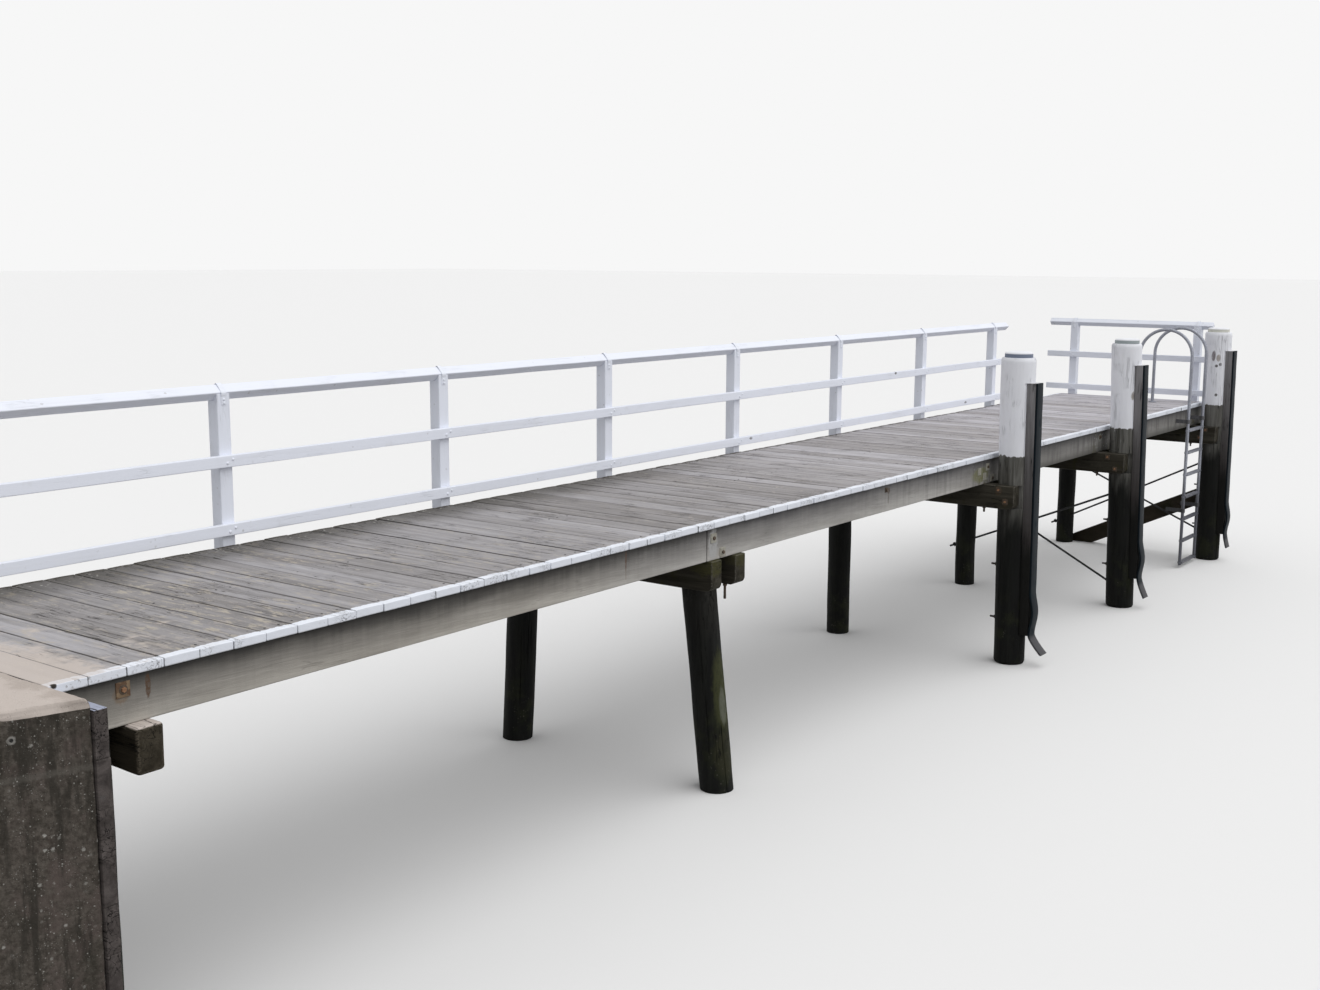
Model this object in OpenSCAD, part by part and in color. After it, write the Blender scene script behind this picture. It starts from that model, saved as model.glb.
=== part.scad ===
// Wooden river jetty: planked deck on girders, four timber bents and a concrete abutment.
// X runs from the shore to the river, Y from the mooring side to the railing side, Z up.
// The origin lies at the middle of the footprint, at the level of the pile feet.

/* [Deck] */
// Number of deck planks
plank_count = 84; // [70:1:96]
// Spacing of the planks, centre to centre
plank_pitch = 200; // [185:5:230]
// Open joint between two planks
plank_gap = 5; // [2:1:12]
// Length of a plank, which is the width of the deck
plank_length = 2030; // [1960:10:2200]
// Thickness of a plank
plank_thickness = 50; // [36:1:70]
// Top of the deck above the pile feet
deck_height = 2080; // [1950:10:2500]
// Chamfer along the arrises of sawn timber
arris = 4; // [1:1:8]

/* [Girders] */
// Width of a girder
girder_width = 130; // [100:5:170]
// Depth of a girder
girder_depth = 240; // [200:5:300]
// Overhang of the plank ends past the mooring-side girder
girder_setback = 30; // [0:5:60]
// Length of the halved lap where two girders join
lap_length = 260; // [180:10:400]
// Distance from the centre of a bent back to the start of its lap
lap_setback = 250; // [150:10:350]
// Open joint at the shoulders of a lap
lap_gap = 14; // [1:1:20]
// Open joint between the two halves of a lap
lap_clearance = 0.5; // [0.2:0.1:0.9]

/* [Bents] */
// Centre of the first bent from the shore end of the deck
bent_1_x = 5390; // [4800:10:5800]
// Centre of the second bent
bent_2_x = 10100; // [9000:5:10500]
// Centre of the third bent
bent_3_x = 13150; // [12400:10:13700]
// Thickness of one headstock
headstock_thickness = 130; // [100:5:150]
// Depth of a headstock
headstock_depth = 230; // [180:5:280]
// Gap between the two headstocks of a bent, which is the thickness of the pile tenons
headstock_gap = 180; // [140:5:210]
// Mooring-side end of the headstocks from the plank ends, for each bent
headstock_near_end = [0, -280, -280, -280]; // [-300:10:0]
// Overhang of the headstocks past the railing-side plank ends, for each bent
headstock_far_overhang = [120, 20, 20, 20]; // [0:5:160]
// Bevel on the lower corners of the headstock ends
headstock_bevel = 35; // [10:5:60]

/* [Piles] */
// Radius of the tall mooring piles at the top
tall_pile_top_radius = 170; // [160:1:185]
// Radius of the tall mooring piles at the foot
tall_pile_foot_radius = 154; // [145:1:168]
// Gap between the tall piles and the plank ends
tall_pile_gap = 18; // [10:1:40]
// Height of the tall piles above the deck, without the cap
tall_pile_rise = 940; // [700:5:1100]
// Outward rake of each tall pile in degrees, turned about the level of the deck
tall_pile_rake = [0.6, 1.4, 0.6]; // [0:0.1:3]
// Distance of the railing-side pile centres from the railing-side plank ends, for each bent
far_pile_inset = [40, 285, 325, 255]; // [40:5:330]
// Radius of the railing-side piles, for each bent
far_pile_radius = [128, 122, 121, 120]; // [115:1:175]
// Distance of the first bent's mooring-side pile centre from the plank ends, at its top
short_pile_y = 295; // [200:5:400]
// Radius of the first bent's mooring-side pile
short_pile_radius = 132; // [125:1:175]
// Outward lean of the first bent's mooring-side pile in degrees
short_pile_angle = 6.6; // [0:0.1:9]
// Outward lean of the first bent's railing-side pile in degrees
far_pile_angle = 3.5; // [0:0.1:7]
// Radius of the cap plate on a tall pile
cap_radius = 134; // [90:1:150]
// Thickness of the cap plate
cap_thickness = 60; // [20:1:80]
// Rounding of the cap's upper edge
cap_rounding = 20; // [4:1:20]

/* [Fenders] */
// Width of a fender timber
fender_width = 140; // [100:5:180]
// Depth of a fender timber
fender_depth = 90; // [70:5:140]
// Distance of the flat that seats a fender timber from the axis of its pile
fender_seat = 120; // [100:5:150]
// Top of the fender timbers above the deck
fender_rise = 700; // [500:10:850]
// Bottom of each fender timber above the pile feet
fender_foot = [300, 345, 355]; // [250:5:450]
// Width of the rubber strip
rubber_width = 136; // [60:2:140]
// Thickness of the rubber strip
rubber_thickness = 20; // [8:1:40]
// Height of the part of the rubber strip that has come off the timber above its lower end
bow_height = 450; // [200:10:800]
// Distance of that part from the timber
bow_depth = 30; // [0:5:60]
// Drop of the loose rubber tail below the timber, for each tall pile
tail_drop = [180, 220, 180]; // [100:10:230]
// Sideways reach of the loose rubber tail, for each tall pile
tail_reach = [135, 80, 40]; // [30:5:150]

/* [Bracing] */
// Radius of the tie rods
rod_radius = 12; // [8:1:16]
// Offset of each crossing rod from the centre of its bent
rod_offset = 20; // [18:1:40]
// Rod end past the railing-side pile
rod_tail = 70; // [50:5:120]
// Heights of the third bent's rods at the tall pile, upper and lower
bent_3_near_rod_z = [1344, 215]; // [150:1:1400]
// Heights of the third bent's rods at the railing-side pile, lower and upper
bent_3_far_rod_z = [533, 1209]; // [150:1:1400]
// Heights of the fourth bent's rods at the tall pile, upper and lower
bent_4_near_rod_z = [1350, 323]; // [150:1:1400]
// Heights of the fourth bent's rods at the railing-side pile, lower and upper
bent_4_far_rod_z = [349, 1190]; // [150:1:1400]
// Thickness of the timber brace
brace_thickness = 75; // [50:5:100]
// Depth of the timber brace
brace_depth = 210; // [150:5:250]
// Height of the brace centre line at the tall pile
brace_near_z = 890; // [700:10:1100]
// Height of the brace centre line at the railing-side pile
brace_far_z = -53; // [-120:1:200]
// Depth of the flats cut in the piles for the brace
brace_housing = 8; // [4:1:20]

/* [Railing] */
// Width of a post
post_width = 100; // [80:5:120]
// Distance of the first post from the shore end of the deck
first_post_x = 524; // [300:2:700]
// Spacing of the side posts
post_pitch = 2000; // [1800:10:2050]
// Number of side posts
side_post_count = 8; // [3:1:8]
// Centre of the top rail above the deck
rail_height = 1003; // [850:1:1100]
// Side of the square top rail, which stands on its edge
rail_side = 75; // [60:1:75]
// Thickness of the mid and bottom rails
rail_thickness = 45; // [25:1:60]
// Depth of the mid and bottom rails
rail_depth = 78; // [60:1:110]
// Underside of the mid rail above the deck
mid_rail_z = 518; // [350:1:650]
// Underside of the bottom rail above the deck
bottom_rail_z = 66; // [30:1:150]
// Overhang of the side rails past the first post and past the last one
rail_overhang = [300, 410]; // [60:5:450]
// Distance of the end posts from the plank ends
end_post_inset = 165; // [100:5:400]
// Mooring-side overhang of the end rails past the plank ends
end_rail_near_overhang = 30; // [0:5:150]
// Railing-side overhang of the end rails past the plank ends
end_rail_far_overhang = 195; // [0:5:250]
// Width of the strap over the top rail
strap_width = 40; // [25:1:60]
// Thickness of the strap
strap_thickness = 4; // [2:0.5:6]
// Length of the strap on the face of the post
strap_leg = 80; // [50:5:120]

/* [Ladder] */
// Distance of the outer hoop from the centre of the fourth bent
ladder_setback = 295; // [270:5:500]
// Spacing of the two hoops
ladder_width = 595; // [450:5:650]
// Radius of the hoop tube
tube_radius = 20; // [15:1:24]
// Distance of the stiles from the plank ends
stile_standoff = 125; // [90:5:180]
// Distance of the inboard feet from the plank ends
hoop_foot_y = 545; // [400:5:700]
// Top of the hoops above the deck
hoop_rise = 1008; // [800:5:1100]
// Number of rungs
rung_count = 7; // [4:1:7]
// Height of the lowest rung above the pile feet
rung_foot = 71; // [30:1:200]
// Depth of a rung's tread, front to back
tread_depth = 60; // [44:1:80]
// Height of a rung's tread
tread_height = 28; // [18:1:40]
// Radius of the bolt through a rung and both stiles
rung_bolt_radius = 7; // [4:1:10]
// Length of the bolt ends outside the stiles
rung_tail = 28; // [20:1:60]
// Length of the stiles below the lowest rung
stile_tail = 34; // [20:1:60]
// Radius of the foot flanges
flange_radius = 48; // [35:1:70]
// Thickness of the bracket bars and foot flanges
bracket_thickness = 8; // [5:1:12]
// Height of the bracket bars
bracket_height = 50; // [30:5:80]
// Number of rungs above the lower lugs
lug_rung = 4; // [2:1:5]
// Drop of the lower lugs below the rung above them
lug_drop = 175; // [60:5:200]
// Length of the lower lugs behind the stiles
lug_length = 220; // [80:5:250]

/* [Shore end] */
// Width of the sill beam
sill_width = 150; // [120:5:200]
// Depth of the sill beam
sill_depth = 230; // [180:5:280]
// Shore-side face of the sill beam from the shore end of the deck
sill_x = 388; // [300:2:450]
// Overhang of the sill beam past the plank ends
sill_overhang = 62; // [0:2:120]
// Radius of the sill piles
sill_pile_radius = 140; // [110:5:145]
// Distance of the sill piles from the plank ends
sill_pile_inset = 250; // [200:10:500]
// Depth of the housing for the sill beam in its piles
sill_housing = 40; // [20:5:60]
// Thickness of the abutment wall
wall_thickness = 500; // [300:10:600]
// Overhang of the abutment wall past the plank ends, at its river face
wall_overhang = 335; // [200:5:400]
// Splay of the wall's two ends in degrees, which makes its back shorter
wall_splay = 20; // [0:1:30]
// Thickness of the facing boards
board_thickness = 72; // [40:1:75]
// Number of facing boards, one above the other
board_count = 9; // [5:1:12]
// Overhang of the facing boards past the plank ends
board_overhang = 345; // [200:5:400]
// Gap between the facing boards and the girder ends
girder_end_gap = 4; // [1:1:10]
// Chamfer on the long top edges of the concrete
wall_chamfer = 12; // [5:1:30]
// Chamfer on the top edges of its splayed ends
wall_end_chamfer = 40; // [5:1:60]

/* [Hidden] */
fit = 0.4;
overrun = 50;
round_faces = 64;
bow_steps = 12;
tail_steps = 4;
tail_curl = 1.3;
washer_side = 50;
washer_thickness = 8;
nut_radius = 18;
nut_height = 16;
nut_sides = 6;

deck_length = plank_count * plank_pitch;
deck_underside = deck_height - plank_thickness;
girder_underside = deck_underside - girder_depth;
headstock_underside = girder_underside - headstock_depth;
headstock_reach = headstock_gap / 2 + headstock_thickness;
bent_4_x = deck_length - headstock_reach;
bent_x = [bent_1_x, bent_2_x, bent_3_x, bent_4_x];
bent_count = len(bent_x);
tall_pile_y = -tall_pile_gap - tall_pile_top_radius;
tall_pile_height = deck_height + tall_pile_rise;
far_pile_y = [for (inset = far_pile_inset) plank_length - inset];
near_girder_y = girder_setback;
middle_girder_y = (plank_length - girder_width) / 2;
far_girder_y = plank_length - girder_width;
girder_start = board_thickness + girder_end_gap;
side_post_y = plank_length;
end_post_x = deck_length;
rail_z = deck_height + rail_height;
rail_half = rail_side / sqrt(2);
last_post_x = first_post_x + (side_post_count - 1) * post_pitch;
side_rail_x = [first_post_x - rail_overhang[0], last_post_x + rail_overhang[1]];
end_rail_y = [-end_rail_near_overhang, plank_length + end_rail_far_overhang];
end_post_y = [end_post_inset, plank_length - end_post_inset];
fender_face_y = tall_pile_y - fender_seat - fender_depth;
fender_top = deck_height + fender_rise;
hoop_x = [bent_4_x - ladder_setback - ladder_width, bent_4_x - ladder_setback];
hoop_radius = (hoop_foot_y + stile_standoff) / 2;
hoop_centre_y = (hoop_foot_y - stile_standoff) / 2;
hoop_centre_z = deck_height + hoop_rise - tube_radius - hoop_radius;
bracket_z = girder_underside + girder_depth / 2;
rung_pitch = (deck_height - rung_foot) / rung_count;
lug_z = deck_height - lug_rung * rung_pitch - lug_drop;
stile_foot = rung_foot - stile_tail;
brace_x = bent_4_x + far_pile_radius[3] - brace_housing;
sill_pile_x = sill_x + sill_housing - sill_pile_radius;
board_height = deck_underside / board_count;

// Limits of the footprint, from which the origin is centred
x_low = -wall_thickness;
x_high = end_post_x + post_width / 2 + max(rail_half, post_width / 2) + strap_thickness;
y_low = min([for (bent = [1 : bent_count - 1])
    raked_y(bent, tail_y(bent, 1) - rubber_thickness, tail_z(bent, 1))]);
y_high = plank_length + max(wall_overhang, board_overhang);
x_middle = (x_low + x_high) / 2;
y_middle = (y_low + y_high) / 2;

// Moves a piece from shore-end coordinates to the centred frame
module placed() {
    translate([-x_middle, -y_middle, 0]) children();
}

// Rectangle with chamfered corners, from its lower left corner
module sawn_profile(width, height, cut) {
    polygon([[cut, 0], [width - cut, 0], [width, cut], [width, height - cut],
             [width - cut, height], [cut, height], [0, height - cut], [0, cut]]);
}

// Timber lying along X
module timber_x(x0, x1, y, z, width, height) {
    translate([x0, y, z]) rotate([90, 0, 90])
        linear_extrude(height = x1 - x0) sawn_profile(width, height, arris);
}

// Timber lying along Y
module timber_y(y0, y1, x, z, width, height) {
    translate([x, y1, z]) rotate([90, 0, 0])
        linear_extrude(height = y1 - y0) sawn_profile(width, height, arris);
}

// Square bar standing on its edge, centred on the X axis
module diamond_bar(length) {
    rotate([90, 0, 90]) linear_extrude(height = length)
        polygon([[-rail_half, 0], [0, -rail_half], [rail_half, 0], [0, rail_half]]);
}

// Rod direction in the plane of a bent, as a lean from the vertical
function lean(from, to) = atan2(to[0] - from[0], to[1] - from[1]);
function distance(from, to) = norm([to[0] - from[0], to[1] - from[1]]);

// End points of a rod on the axes of the two piles of a bent
function rod_ends(bent, near_z, far_z) = [[tall_pile_y, near_z], [far_pile_y[bent], far_z]];

// Straight line of a rod or its bore, from start to end past its first point
module rod_line(x, ends, radius, start, end) {
    translate([x, ends[0][0], ends[0][1]]) rotate([-lean(ends[0], ends[1]), 0, 0])
        translate([0, 0, start]) cylinder(h = end - start, r = radius, $fn = round_faces);
}

// Square washer and nut on a rod, with the washer's inner face at a distance past its first point
module rod_nut(x, ends, seat) {
    translate([x, ends[0][0], ends[0][1]]) rotate([-lean(ends[0], ends[1]), 0, 0])
        translate([0, 0, seat]) {
            translate([-washer_side / 2, -washer_side / 2, 0])
                cube([washer_side, washer_side, washer_thickness]);
            cylinder(h = washer_thickness + nut_height, r = nut_radius, $fn = nut_sides);
        }
}

// Distance from a pile's axis to the washer seat of a rod that leans by an angle
function washer_seat(radius, angle) = (radius + washer_side / 2 * abs(cos(angle))) / abs(sin(angle));

// Pair of rod bores through the piles of a bent
module rod_bores(bent, near_z, far_z) {
    for (i = [0, 1]) {
        ends = rod_ends(bent, near_z[i], far_z[i]);
        reach = distance(ends[0], ends[1]);
        rod_line(bent_x[bent] + (2 * i - 1) * rod_offset, ends, rod_radius + fit,
                 -reach / 4, reach * 5 / 4);
    }
}

// Space taken by the two headstocks of a bent, cut out of its piles
module headstock_space(bent, y, radius, top) {
    for (side = [-1, 1])
        translate([bent_x[bent] + side * (headstock_gap / 2 + radius) - radius,
                   y - 2 * radius, headstock_underside])
            cube([2 * radius, 4 * radius, top - headstock_underside]);
}

// Pile cut to a tenon between the headstocks; a positive angle leans its foot towards +Y
module tenon_pile(bent, y, radius, angle) {
    difference() {
        translate([bent_x[bent], y, girder_underside]) rotate([180 + angle, 0, 0])
            translate([0, 0, -overrun])
                cylinder(h = girder_underside / cos(angle) + 2 * overrun, r = radius,
                         $fn = round_faces);
        translate([bent_x[bent] - 2 * radius, y - 4 * radius, girder_underside])
            cube([4 * radius, 8 * radius, 2 * overrun]);
        translate([bent_x[bent] - 2 * radius, y - 4 * radius, -4 * overrun])
            cube([4 * radius, 8 * radius, 4 * overrun]);
        headstock_space(bent, y, radius, girder_underside + overrun);
    }
}

// Turns a piece with the rake of its tall pile, about the level of the deck
module raked(bent) {
    translate([0, tall_pile_y, deck_height]) rotate([-tall_pile_rake[bent - 1], 0, 0])
        translate([0, -tall_pile_y, -deck_height]) children();
}

// Place across the jetty of a raked point
function raked_y(bent, y, z) =
    tall_pile_y + (y - tall_pile_y) * cos(tall_pile_rake[bent - 1])
        + (z - deck_height) * sin(tall_pile_rake[bent - 1]);

// Tall mooring pile, housed on both faces for the headstocks and cut flat for its fender
module tall_pile(bent) {
    difference() {
        raked(bent) difference() {
            translate([bent_x[bent], tall_pile_y, -overrun])
                cylinder(h = tall_pile_height + overrun, r1 = tall_pile_foot_radius,
                         r2 = tall_pile_top_radius, $fn = round_faces);
            translate([bent_x[bent] - tall_pile_top_radius, fender_face_y, fender_foot[bent - 1]])
                cube([2 * tall_pile_top_radius, fender_depth, fender_length(bent)]);
        }
        headstock_space(bent, tall_pile_y, tall_pile_top_radius, girder_underside);
        translate([bent_x[bent] - 2 * tall_pile_top_radius,
                   tall_pile_y - 2 * tall_pile_top_radius, -4 * overrun])
            cube([4 * tall_pile_top_radius, 4 * tall_pile_top_radius, 4 * overrun]);
    }
}

// Pair of headstocks with bevelled lower corners
module headstocks(bent) {
    near = headstock_near_end[bent];
    far = plank_length + headstock_far_overhang[bent];
    cut = headstock_bevel;
    for (x = [bent_x[bent] - headstock_reach, bent_x[bent] + headstock_gap / 2])
        translate([x, 0, headstock_underside]) rotate([90, 0, 90])
            linear_extrude(height = headstock_thickness)
                polygon([[near + cut, 0], [far - cut, 0], [far, cut], [far, headstock_depth],
                         [near, headstock_depth], [near, cut]]);
}

// Pair of crossing tie rods with washers and nuts at the railing-side pile
module tie_rods(bent, near_z, far_z) {
    for (i = [0, 1]) {
        ends = rod_ends(bent, near_z[i], far_z[i]);
        angle = lean(ends[0], ends[1]);
        reach = distance(ends[0], ends[1]);
        seat = reach + washer_seat(far_pile_radius[bent], angle);
        x = bent_x[bent] + (2 * i - 1) * rod_offset;
        rod_line(x, ends, rod_radius, -tall_pile_foot_radius / 2, seat + rod_tail);
        rod_nut(x, ends, seat);
    }
}

// Girder with a halved lap at either end; the outer half belongs to the river piece
module girder(x0, x1, y, lap_start, lap_end) {
    half = (girder_width - lap_clearance) / 2;
    cheek_size = [lap_length + overrun, girder_width, girder_depth + 2 * overrun];
    cheek_z = girder_underside - overrun;
    difference() {
        timber_x(x0, x1, y, girder_underside, girder_width, girder_depth);
        if (lap_start)
            translate([x0 - overrun, y + half, cheek_z]) cube(cheek_size);
        if (lap_end)
            translate([x1 - lap_length, y - half, cheek_z]) cube(cheek_size);
    }
}

// The girder length between two laps, by its number along the jetty
function lap_x(bent) = bent_x[bent] - lap_setback;
function girder_x0(part) = part == 0 ? girder_start : lap_x(part - 1) + lap_gap;
function girder_x1(part) = part == 2 ? deck_length : lap_x(part) + lap_length;

module girder_piece(part, y) {
    girder(girder_x0(part), girder_x1(part), y, part > 0, part < 2);
}

// Deck planks from one number up to another
module planks(first, last) {
    for (i = [first : last - 1])
        timber_y(0, plank_length, i * plank_pitch + plank_gap / 2, deck_underside,
                 plank_pitch - plank_gap, plank_thickness);
}

// First plank past the centre of a bent
function bay_end(bent) = ceil(bent_x[bent] / plank_pitch);

// Post whose head is notched for the diamond rail, with the rail along X
module notched_post(foot_z) {
    difference() {
        translate([-post_width / 2, -post_width / 2, foot_z])
            cube([post_width, post_width, rail_z - foot_z - strap_thickness]);
        translate([-post_width, 0, rail_z]) diamond_bar(2 * post_width);
    }
}

// Strap bent over the diamond rail and down both faces of the post, with the rail along X
module strap() {
    t = strap_thickness;
    side = post_width / 2;
    knee = max(rail_half, side);
    translate([-strap_width / 2, 0, rail_z]) rotate([90, 0, 90])
        linear_extrude(height = strap_width)
            polygon([[0, rail_half], [-rail_half, 0], [-knee, -knee / 4], [-side, -knee / 2],
                     [-side, -strap_leg], [-side - t, -strap_leg], [-side - t, -knee / 2],
                     [-knee - t, -knee / 4], [-knee - t, t / 2], [0, rail_half + t * sqrt(2)],
                     [knee + t, t / 2], [knee + t, -knee / 4], [side + t, -knee / 2],
                     [side + t, -strap_leg], [side, -strap_leg], [side, -knee / 2],
                     [knee, -knee / 4], [rail_half, 0]]);
}

module at_side_posts() {
    for (i = [0 : side_post_count - 1])
        translate([first_post_x + i * post_pitch, side_post_y + post_width / 2, 0]) children();
}

module at_end_posts() {
    for (y = end_post_y)
        translate([end_post_x + post_width / 2, y, 0]) rotate([0, 0, 90]) children();
}

function fender_length(bent) = fender_top - fender_foot[bent - 1];

// Fender timber, seated on the flat of its pile
module fender_timber(bent) {
    raked(bent)
        translate([bent_x[bent] - fender_width / 2, fender_face_y, fender_foot[bent - 1]])
            linear_extrude(height = fender_length(bent))
                sawn_profile(fender_width, fender_depth, arris);
}

// Side view of the rubber strip: straight, bowed off the timber, then a tail that curls away
function bow_y(t) = fender_face_y - bow_depth * pow(sin(180 * t), 2);
function bow_z(bent, t) = fender_foot[bent - 1] + bow_height * (1 - t);
function tail_y(bent, t) = fender_face_y - tail_reach[bent - 1] * pow(t, tail_curl);
function tail_z(bent, t) = fender_foot[bent - 1] - tail_drop[bent - 1] * t;
function strip_points(bent, stand_off) = concat(
    [[fender_face_y - stand_off, fender_top]],
    [for (i = [0 : bow_steps])
        [bow_y(i / bow_steps) - stand_off, bow_z(bent, i / bow_steps)]],
    [for (i = [1 : tail_steps])
        [tail_y(bent, i / tail_steps) - stand_off, tail_z(bent, i / tail_steps)]]);
function reversed(points) = [for (i = [len(points) - 1 : -1 : 0]) points[i]];

module fender_rubber(bent) {
    raked(bent) translate([bent_x[bent] - rubber_width / 2, 0, 0]) rotate([90, 0, 90])
        linear_extrude(height = rubber_width)
            polygon(concat(strip_points(bent, 0),
                           reversed(strip_points(bent, rubber_thickness))));
}

// Cap plate with a rounded upper edge
module pile_cap() {
    rotate_extrude($fn = round_faces) union() {
        square([cap_radius - cap_rounding, cap_thickness]);
        square([cap_radius, cap_thickness - cap_rounding]);
        translate([cap_radius - cap_rounding, cap_thickness - cap_rounding])
            circle(r = cap_rounding, $fn = round_faces);
    }
}

// Hoop of tube: foot on the deck, half circle, stile down past the lowest rung
module hoop(x) {
    difference() {
        translate([x, 0, 0]) {
            translate([0, hoop_foot_y, deck_height])
                cylinder(h = hoop_centre_z - deck_height, r = tube_radius, $fn = round_faces);
            translate([0, hoop_foot_y, deck_height])
                cylinder(h = bracket_thickness, r = flange_radius, $fn = round_faces);
            translate([0, hoop_centre_y, hoop_centre_z]) rotate([90, 0, 90])
                rotate_extrude(angle = 180, $fn = round_faces)
                    translate([hoop_radius, 0]) circle(r = tube_radius, $fn = round_faces);
            translate([0, -stile_standoff, stile_foot])
                cylinder(h = hoop_centre_z - stile_foot, r = tube_radius, $fn = round_faces);
        }
        for (i = [1 : rung_count])
            translate([x - flange_radius, -stile_standoff, deck_height - i * rung_pitch])
                rotate([0, 90, 0])
                    cylinder(h = 2 * flange_radius, r = rung_bolt_radius + fit,
                             $fn = round_faces);
    }
}

// Tread coped onto the two stiles, with its bolt through both of them
module rung(i) {
    cope = tube_radius / 2;
    bolt_reach = tube_radius + rung_tail;
    translate([hoop_x[0], -stile_standoff, deck_height - i * rung_pitch]) {
        difference() {
            translate([cope, -tread_depth / 2, -tread_height / 2])
                cube([ladder_width - 2 * cope, tread_depth, tread_height]);
            for (x = [0, ladder_width])
                translate([x, 0, -tread_height])
                    cylinder(h = 2 * tread_height, r = tube_radius + fit, $fn = round_faces);
        }
        translate([-bolt_reach, 0, 0]) rotate([0, 90, 0])
            cylinder(h = ladder_width + 2 * bolt_reach, r = rung_bolt_radius,
                     $fn = round_faces);
    }
}

// Bar with an eye round a stile, reaching back by its length
module stile_bar(x, z, length) {
    eye_radius = tube_radius + bracket_thickness;
    difference() {
        union() {
            translate([x, -stile_standoff, z - bracket_height / 2])
                cylinder(h = bracket_height, r = eye_radius, $fn = round_faces);
            translate([x - bracket_thickness / 2, -stile_standoff, z - bracket_height / 2])
                cube([bracket_thickness, length, bracket_height]);
        }
        translate([x, -stile_standoff, z - bracket_height])
            cylinder(h = 2 * bracket_height, r = tube_radius + fit, $fn = round_faces);
    }
}

// Bar on its edge that cuts a chamfer along a straight top edge
module edge_cut(length, chamfer) {
    rotate([45, 0, 0]) cube([length, chamfer * sqrt(2), chamfer * sqrt(2)], center = true);
}

// Concrete wall flush with the deck, its two ends splayed towards each other inland
module abutment_wall() {
    near_y = -wall_overhang;
    far_y = plank_length + wall_overhang;
    slant = wall_thickness * tan(wall_splay);
    color("dimgray") placed() difference() {
        linear_extrude(height = deck_height)
            polygon([[0, near_y], [0, far_y], [-wall_thickness, far_y - slant],
                     [-wall_thickness, near_y + slant]]);
        translate([0, near_y, deck_height]) rotate([0, 0, -wall_splay])
            edge_cut(4 * wall_thickness, wall_end_chamfer);
        translate([0, far_y, deck_height]) rotate([0, 0, wall_splay])
            edge_cut(4 * wall_thickness, wall_end_chamfer);
        for (x = [-wall_thickness, 0])
            translate([x, plank_length / 2, deck_height]) rotate([0, 0, 90])
                edge_cut(2 * plank_length, wall_chamfer);
    }
}

// Facing boards stacked on edge against the wall
module abutment_board() {
    color("slategray") placed()
        for (i = [0 : board_count - 1])
            timber_y(-board_overhang, plank_length + board_overhang, 0, i * board_height,
                     board_thickness, board_height);
}

module sill_beam() {
    color("saddlebrown") placed()
        timber_y(-sill_overhang, plank_length + sill_overhang, sill_x,
                 girder_underside - sill_depth, sill_width, sill_depth);
}

module sill_piles() {
    color("saddlebrown") placed()
        for (y = [sill_pile_inset, plank_length - sill_pile_inset])
            difference() {
                translate([sill_pile_x, y, 0])
                    cylinder(h = girder_underside, r = sill_pile_radius, $fn = round_faces);
                translate([sill_x, y - 2 * sill_pile_radius, girder_underside - sill_depth])
                    cube([sill_width, 4 * sill_pile_radius, sill_depth + overrun]);
            }
}

module bent_1_near_pile() {
    color("dimgray") placed()
        tenon_pile(0, short_pile_y, short_pile_radius, -short_pile_angle);
}

module bent_1_far_pile() {
    color("dimgray") placed()
        tenon_pile(0, far_pile_y[0], far_pile_radius[0], far_pile_angle);
}

module bent_2_near_pile() {
    color("whitesmoke") placed() tall_pile(1);
}

module bent_2_far_pile() {
    color("dimgray") placed() tenon_pile(1, far_pile_y[1], far_pile_radius[1], 0);
}

module bent_3_near_pile() {
    color("whitesmoke") placed() difference() {
        tall_pile(2);
        rod_bores(2, bent_3_near_rod_z, bent_3_far_rod_z);
    }
}

module bent_3_far_pile() {
    color("dimgray") placed() difference() {
        tenon_pile(2, far_pile_y[2], far_pile_radius[2], 0);
        rod_bores(2, bent_3_near_rod_z, bent_3_far_rod_z);
    }
}

module bent_4_near_pile() {
    color("whitesmoke") placed() difference() {
        tall_pile(3);
        rod_bores(3, bent_4_near_rod_z, bent_4_far_rod_z);
        brace_plank();
    }
}

module bent_4_far_pile() {
    color("dimgray") placed() difference() {
        tenon_pile(3, far_pile_y[3], far_pile_radius[3], 0);
        rod_bores(3, bent_4_near_rod_z, bent_4_far_rod_z);
        brace_plank();
    }
}

module bent_1_headstocks() {
    color("saddlebrown") placed() headstocks(0);
}

module bent_2_headstocks() {
    color("saddlebrown") placed() headstocks(1);
}

module bent_3_headstocks() {
    color("saddlebrown") placed() headstocks(2);
}

module bent_4_headstocks() {
    color("saddlebrown") placed() headstocks(3);
}

module bent_3_tie_rods() {
    color("gray") placed() tie_rods(2, bent_3_near_rod_z, bent_3_far_rod_z);
}

module bent_4_tie_rods() {
    color("gray") placed() tie_rods(3, bent_4_near_rod_z, bent_4_far_rod_z);
}

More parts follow.
